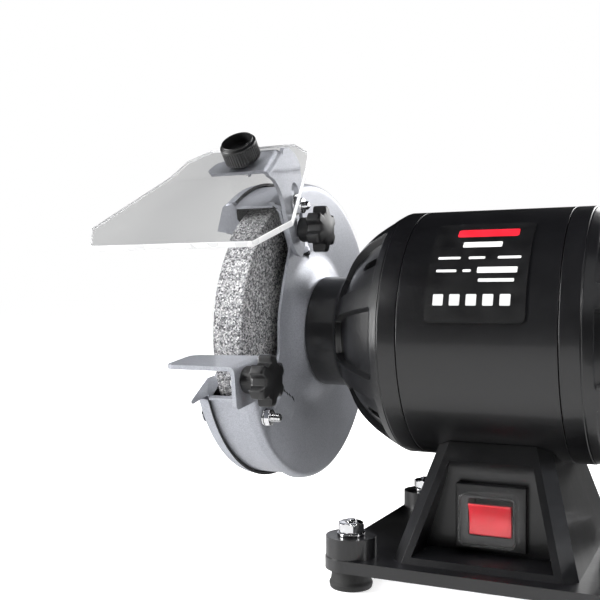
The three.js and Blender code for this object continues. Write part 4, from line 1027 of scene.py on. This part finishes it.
def tilted_rest(points):
    """Turns points in X-Y-Z about the rest's pivot, from level to the slope it stands at."""
    x, run, rise = points[..., 0], points[..., 1], points[..., 2]
    y = rest_pivot[0] + run * np.cos(REST_SLOPE) - rise * np.sin(REST_SLOPE)
    z = rest_pivot[1] + run * np.sin(REST_SLOPE) + rise * np.cos(REST_SLOPE)
    return np.stack([x, y, z], -1)


def tool_rest(name, side):
    """An angle of bent sheet: a path in X-Z, up the flange and out along the table, with the front and
    back edges given at each station and drawn in at the rounded corners."""
    half = REST_SHEET / 2
    path = eased([
        (rest_flange + half, -REST_DROP), (rest_flange + half, REST_TOP - half),
        (cover_face, REST_TOP - half),
    ], 2.6)
    ends = 4 * (1 - np.cos(np.linspace(0, np.pi / 2, 9)))
    run = lengths_along(path)
    stations = np.unique(np.concatenate([run, ends, run[-1] - ends, np.arange(8, run[-1] - 5, 4)]).round(4))
    x, z = (np.interp(stations, run, path[:, k]) for k in (0, 1))
    from_foot = stations
    from_end = run[-1] - stations
    front = REST_FRONT + corner_inset(from_end, 4) + corner_inset(from_foot, 2.6)
    taper = np.interp(x, [rest_flange + 4, cover_face], [0, 2.5])
    back = REST_BACK - taper - corner_inset(from_end, 4) - corner_inset(from_foot, 4)
    share = np.linspace(0, 1, 15)
    run_y = front[:, None] + (back - front)[:, None] * share
    grid = tilted_rest(np.stack([x[:, None] + 0 * run_y, run_y, z[:, None] + 0 * run_y], -1))
    obj = piece(f"rest_sheet_{name}", [(grid, False)], side)
    thicken(obj, REST_SHEET)
    slot = stadium((-1.8, 0.0), (12.5, 0.0), 3.25)
    ring = tilted_rest(np.column_stack([np.zeros(len(slot)), slot]))[:, 1:]
    cut(obj, [prism_cutter(ring, rest_flange - 5, rest_flange + 5, side)])
    bevel(obj, 0.45, 3, 50)
    finish(obj, f"rest_plate_{name}", SILVER, [f"tool_rest_{name}"], sharp=40)


def rest_support(name, side):
    """The flat arm between the guard and the rest's pivot: a round end, a straight top edge under the
    rest and a hooked end against the guard."""
    start, stop = x_span(f"rest_support_{name}", side)
    y, z = rest_pivot
    slope = np.tan(REST_SLOPE)
    under = REST_TOP - REST_SHEET - 2
    around = np.radians(np.linspace(250, 95, 14))
    end = rest_pivot + 5.2 * np.stack([np.cos(around), np.sin(around)], 1)
    top = [(y + run, z + run * slope + under) for run in (10, 19.5)]
    hook = [(21.6, 10.8), (31.6, 10.8), (36, 6.6), (41, -9), (39, -19), (30, -14), (20, -6.5)]
    rest = eased(np.vstack([end[-1], top, rest_pivot + hook, end[0]]), 2.5)
    outline = np.vstack([end, rest[1:-1]])
    plate = np.column_stack([np.full(len(outline), (start + stop) / 2), outline])
    obj = piece(f"support_sheet_{name}", [], side, flats=[plate])
    bevel(thicken(obj, stop - start), 0.4, 2, 50)
    finish(obj, "frame", SILVER, [f"rest_support_{name}"], sharp=40)


# ---------- base ----------
def softened(node, body, material, width):
    """A copy of a CAD node with its loose triangles welded, its flat faces joined and its edges rounded."""
    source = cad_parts[node]
    obj = bpy.data.objects.new(f"{node}_soft", source.data.copy())
    bpy.context.scene.collection.objects.link(obj)
    bm = bmesh.new()
    bm.from_mesh(obj.data)
    bmesh.ops.remove_doubles(bm, verts=bm.verts, dist=2e-6)
    bmesh.ops.dissolve_limit(bm, angle_limit=np.radians(1), verts=bm.verts, edges=bm.edges)
    bm.to_mesh(obj.data)
    bm.free()
    bevel(obj, width)
    finish(obj, body, material, [node], sharp=40)


def foot(name):
    """A rubber foot with a recessed waist, and the stud with its nut and washer on the lug above."""
    node = f"foot_{name}"
    low, high = span(node)
    place = ((low[0] + high[0]) / 2, (low[1] + high[1]) / 2, 0)
    up = (0, 0, 1)
    radius = (high[0] - low[0]) / 2
    base = low[2]
    h, r = eased([
        (0, 0), (0, radius - 0.6), (3, radius), (4.2, radius - 0.9), (9.5, radius - 1.4),
        (9.9, radius - 3), (9.9, 0),
    ], [0, 1.2, 1, 1, 1, 0.5, 0]).T
    pad_piece = piece(f"foot_pad_{name}", [(spun(h + base, r, place, up, columns=64), True)])
    finish(pad_piece, "frame", RUBBER, [node])
    top = high[2]
    nut_base = top - 7.7
    fixings = [
        threaded(base + 11, top, 2.9, 1.0, place, up),
        hex_nut(nut_base + 1.2, nut_base + 6.4, 12, 2.9, place, up),
        washer(nut_base, nut_base + 1.2, 7, 2.9, place, up),
    ]
    finish(piece(f"foot_nut_{name}", fixings), "frame", CHROME)


def cord_gland():
    """The gland in the back: a round flange and a tapered sleeve with ribs, turned about Y, with its
    bore left open."""
    low, high = span("cord_gland")
    place = ((low[0] + high[0]) / 2, 0, (low[2] + high[2]) / 2)
    seat = high[1] - 16
    flange = seat + 4
    rib = [(flange + 1.2 + 2.2 * k + step, radius - 0.2 * k) for k in range(5)
           for step, radius in ((0, 6.9), (1.1, 6.9), (1.2, 6.0), (2.1, 6.0))]
    profile = [
        (low[1], 4.2), (low[1], 7), (seat, 7), (seat, 10), (flange - 1, 10), (flange, 8.5), *rib,
        (high[1], 5.6), (high[1], 4.2),
    ]
    h, r = eased(profile, 0.35, closed=True).T
    obj = piece("gland_sleeve", [(spun(h, r, place, (0, 1, 0), columns=64), True)])
    finish(obj, "frame", RUBBER, ["cord_gland"])


def switch_rocker():
    """The rocker: a saddle-shaped face, hollow across and tipped about its pivot, on a tapering body.
    The face's depth is a hollow of 1 - (v^2) along its height and a slight crown across its width."""
    low, high = span("switch_rocker")
    tilt = np.radians(9)
    middle = (low + high) / 2
    half_width = (high[0] - low[0]) / 2
    half_height = 7.8
    front = low[1] + 1.3
    u = np.linspace(-1, 1, 17)[None, :]
    v = np.linspace(-1, 1, 25)[:, None]
    edge = smooth((1 - np.abs(u)) / 0.08) * smooth((1 - np.abs(v)) / 0.08)
    y = -1.1 * v ** 2 - 0.15 * (1 - u ** 2) + 0.5 * (1 - edge) + 0 * u
    face = np.stack([half_width * u + 0 * v, y + 0 * u, half_height * v + 0 * u], -1)
    rows = [face[0], face[:, -1], face[::-1][0][::-1], face[::-1, 0]]
    rim = np.vstack([rows[0][:-1], rows[1][:-1], rows[2][:-1], rows[3][:-1]])
    skirt = np.stack([rim, rim * (1, 0, 0.8) + (0, 4.5, 0), rim * (1, 0, 0.25) + (0, 8, 0)])
    grids = [(face, False), (skirt, True)]
    turned = []
    for grid, wrap in grids:
        y, z = grid[..., 1] - 1.5, grid[..., 2]
        turned.append((np.stack([
            grid[..., 0] + middle[0],
            y * np.cos(tilt) - z * np.sin(tilt) + front + 1.5,
            y * np.sin(tilt) + z * np.cos(tilt) + middle[2],
        ], -1), wrap))
    obj = piece("rocker_key", turned, flats=[turned[1][0][-1]])
    finish(obj, "rocker", SWITCH_RED, ["switch_rocker"])


# ---------- everything in place ----------
motor_tube()
rating_plate()
for which_side, sign in SIDES.items():
    end_bell(which_side, sign)
    wheel(which_side, sign)
    guard_pan(which_side, sign)
    guard_band(which_side, sign)
    outer_cover(which_side, sign)
    cover_bolt(which_side, sign, "low")
    cover_bolt(which_side, sign, "rear")
    carriage_bolt(which_side, sign, "rest_bolt", f"rest_clamp_{which_side}")
    carriage_bolt(which_side, sign, "bracket_stud", "frame")
    bracket_bolt(which_side, sign)
    star_knob(which_side, sign, "rest_knob", f"rest_handle_{which_side}")
    star_knob(which_side, sign, "bracket_knob", f"bracket_handle_{which_side}")
    eye_shield(which_side, sign)
    shield_bracket(which_side, sign)
    shield_knob(which_side, sign)
    tool_rest(which_side, sign)
    rest_support(which_side, sign)
for corner_name in ("front_left", "front_right", "rear_left", "rear_right"):
    foot(corner_name)
softened("pedestal", "frame", CAST_BLACK, 1.0)
softened("switch_bezel", "frame", KNOB_PLASTIC, 0.8)
softened("switch_cap", "frame", CAP_CLEAR, 0.5)
cord_gland()
switch_rocker()

kept_nodes = {
    "stator_core": CORE, "stator_winding": COPPER, "rotor": CORE, "spindle_shaft": CHROME,
    "base_plate": CHROME, "run_capacitor": CHROME,
}
for which_side in SIDES:
    for kept in ("bearing", "inner_flange", "outer_flange", "spindle_nut"):
        kept_nodes[f"{kept}_{which_side}"] = CHROME
for node_name, node_material in kept_nodes.items():
    kept_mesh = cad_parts[node_name].data
    kept_mesh.materials.clear()
    kept_mesh.materials.append(node_material)


# ---------- floor, light and camera ----------
def floor(name, height, outer, centre_y, reach, glow):
    """A flat disc of pale paper with a faint glow of its own, which goes smoothly from the first value to
    the second as the distance from (0, centre_y) goes over the reach."""
    grid = spun(np.full(5, height), np.linspace(0, outer, 5) / MM, axis=(0, 0, 1), columns=64) * MM
    mesh = bpy.data.meshes.new(name)
    mesh.from_pydata(grid.reshape(-1, 3), [], quads(5, 64, True).tolist())
    obj = bpy.data.objects.new(name, mesh)
    bpy.context.scene.collection.objects.link(obj)
    material, tree, principled = shader(f"{name}_paper", "floor", Roughness=0.9)
    principled.inputs["Emission Color"].default_value = (1, 1, 1, 1)
    fibre = texture(tree, "ShaderNodeTexNoise", 500, Detail=3.0)
    tone = coloured(tree, fibre.outputs["Fac"], [(0.3, (0.88, 0.88, 0.88)), (0.7, (0.92, 0.92, 0.92))])
    tree.links.new(tone, principled.inputs["Base Color"])
    place = tree.nodes.new("ShaderNodeTexCoord")
    distance = tree.nodes.new("ShaderNodeVectorMath")
    distance.operation = "DISTANCE"
    distance.inputs[1].default_value = (0, centre_y, 0)
    tree.links.new(place.outputs["Object"], distance.inputs[0])
    level = ranged(tree, distance.outputs["Value"], *glow, *reach)
    tree.links.new(level, principled.inputs["Emission Strength"])
    mesh.materials.append(material)
    return obj


def softbox(name, place, target, size, power):
    light = bpy.data.lights.new(name, "AREA")
    light.shape = "RECTANGLE"
    light.size, light.size_y = size
    light.energy = power
    obj = bpy.data.objects.new(name, light)
    obj.location = place
    obj.rotation_euler = (Vector(target) - Vector(place)).to_track_quat("-Z", "Y").to_euler()
    bpy.context.scene.collection.objects.link(obj)
    return obj


def camera():
    """A level view from the front right, close enough for the right-hand end to run out of the frame."""
    data = bpy.data.cameras.new("camera")
    data.sensor_width = 36
    data.lens = 54.97
    data.clip_start = 0.02
    obj = bpy.data.objects.new("camera", data)
    away = Vector((0.11122, -0.48540, 0.01795))
    obj.location = Vector(spindle * MM) + away
    obj.rotation_euler = (np.radians(90 - 0.04), 0, np.radians(25.522))
    bpy.context.scene.collection.objects.link(obj)
    bpy.context.scene.camera = obj


def surroundings():
    """A white room that the camera and the clear sheets see, and that lights nothing."""
    world = bpy.data.worlds.new("studio")
    world.use_nodes = True
    world.node_tree.nodes["Background"].inputs["Color"].default_value = (1, 1, 1, 1)
    world.node_tree.nodes["Background"].inputs["Strength"].default_value = 1.0
    world.cycles_visibility.diffuse = False
    world.cycles_visibility.glossy = False
    bpy.context.scene.world = world


shown = floor("shown_floor", 0, 30.0, 0, (0.35, 1.1), (0.68, 1.0))
shown.visible_glossy = False
shown.visible_diffuse = False
bounce = floor("bounce_floor", -1, 0.9, -0.45, (0.35, 0.75), (1.2, 0.05))
bounce.visible_camera = False
bounce.visible_transmission = False
surroundings()
softbox("left_key", (-1.15, -0.65, 0.45), (-0.05, 0, 0.12), (0.35, 1.0), 30)
softbox("rear_right", (0.6, 1.4, 0.75), (0, 0, 0.15), (1.3, 0.8), 17)
softbox("right_strip", (0.9, -0.1, 0.2), (0.05, 0, 0.1), (0.12, 0.5), 3)
overhead = softbox("overhead", (0.2, -0.3, 1.3), (0, 0, 0.1), (0.8, 0.8), 30)
overhead.visible_glossy = False
camera()
bpy.context.scene.view_settings.view_transform = "Standard"
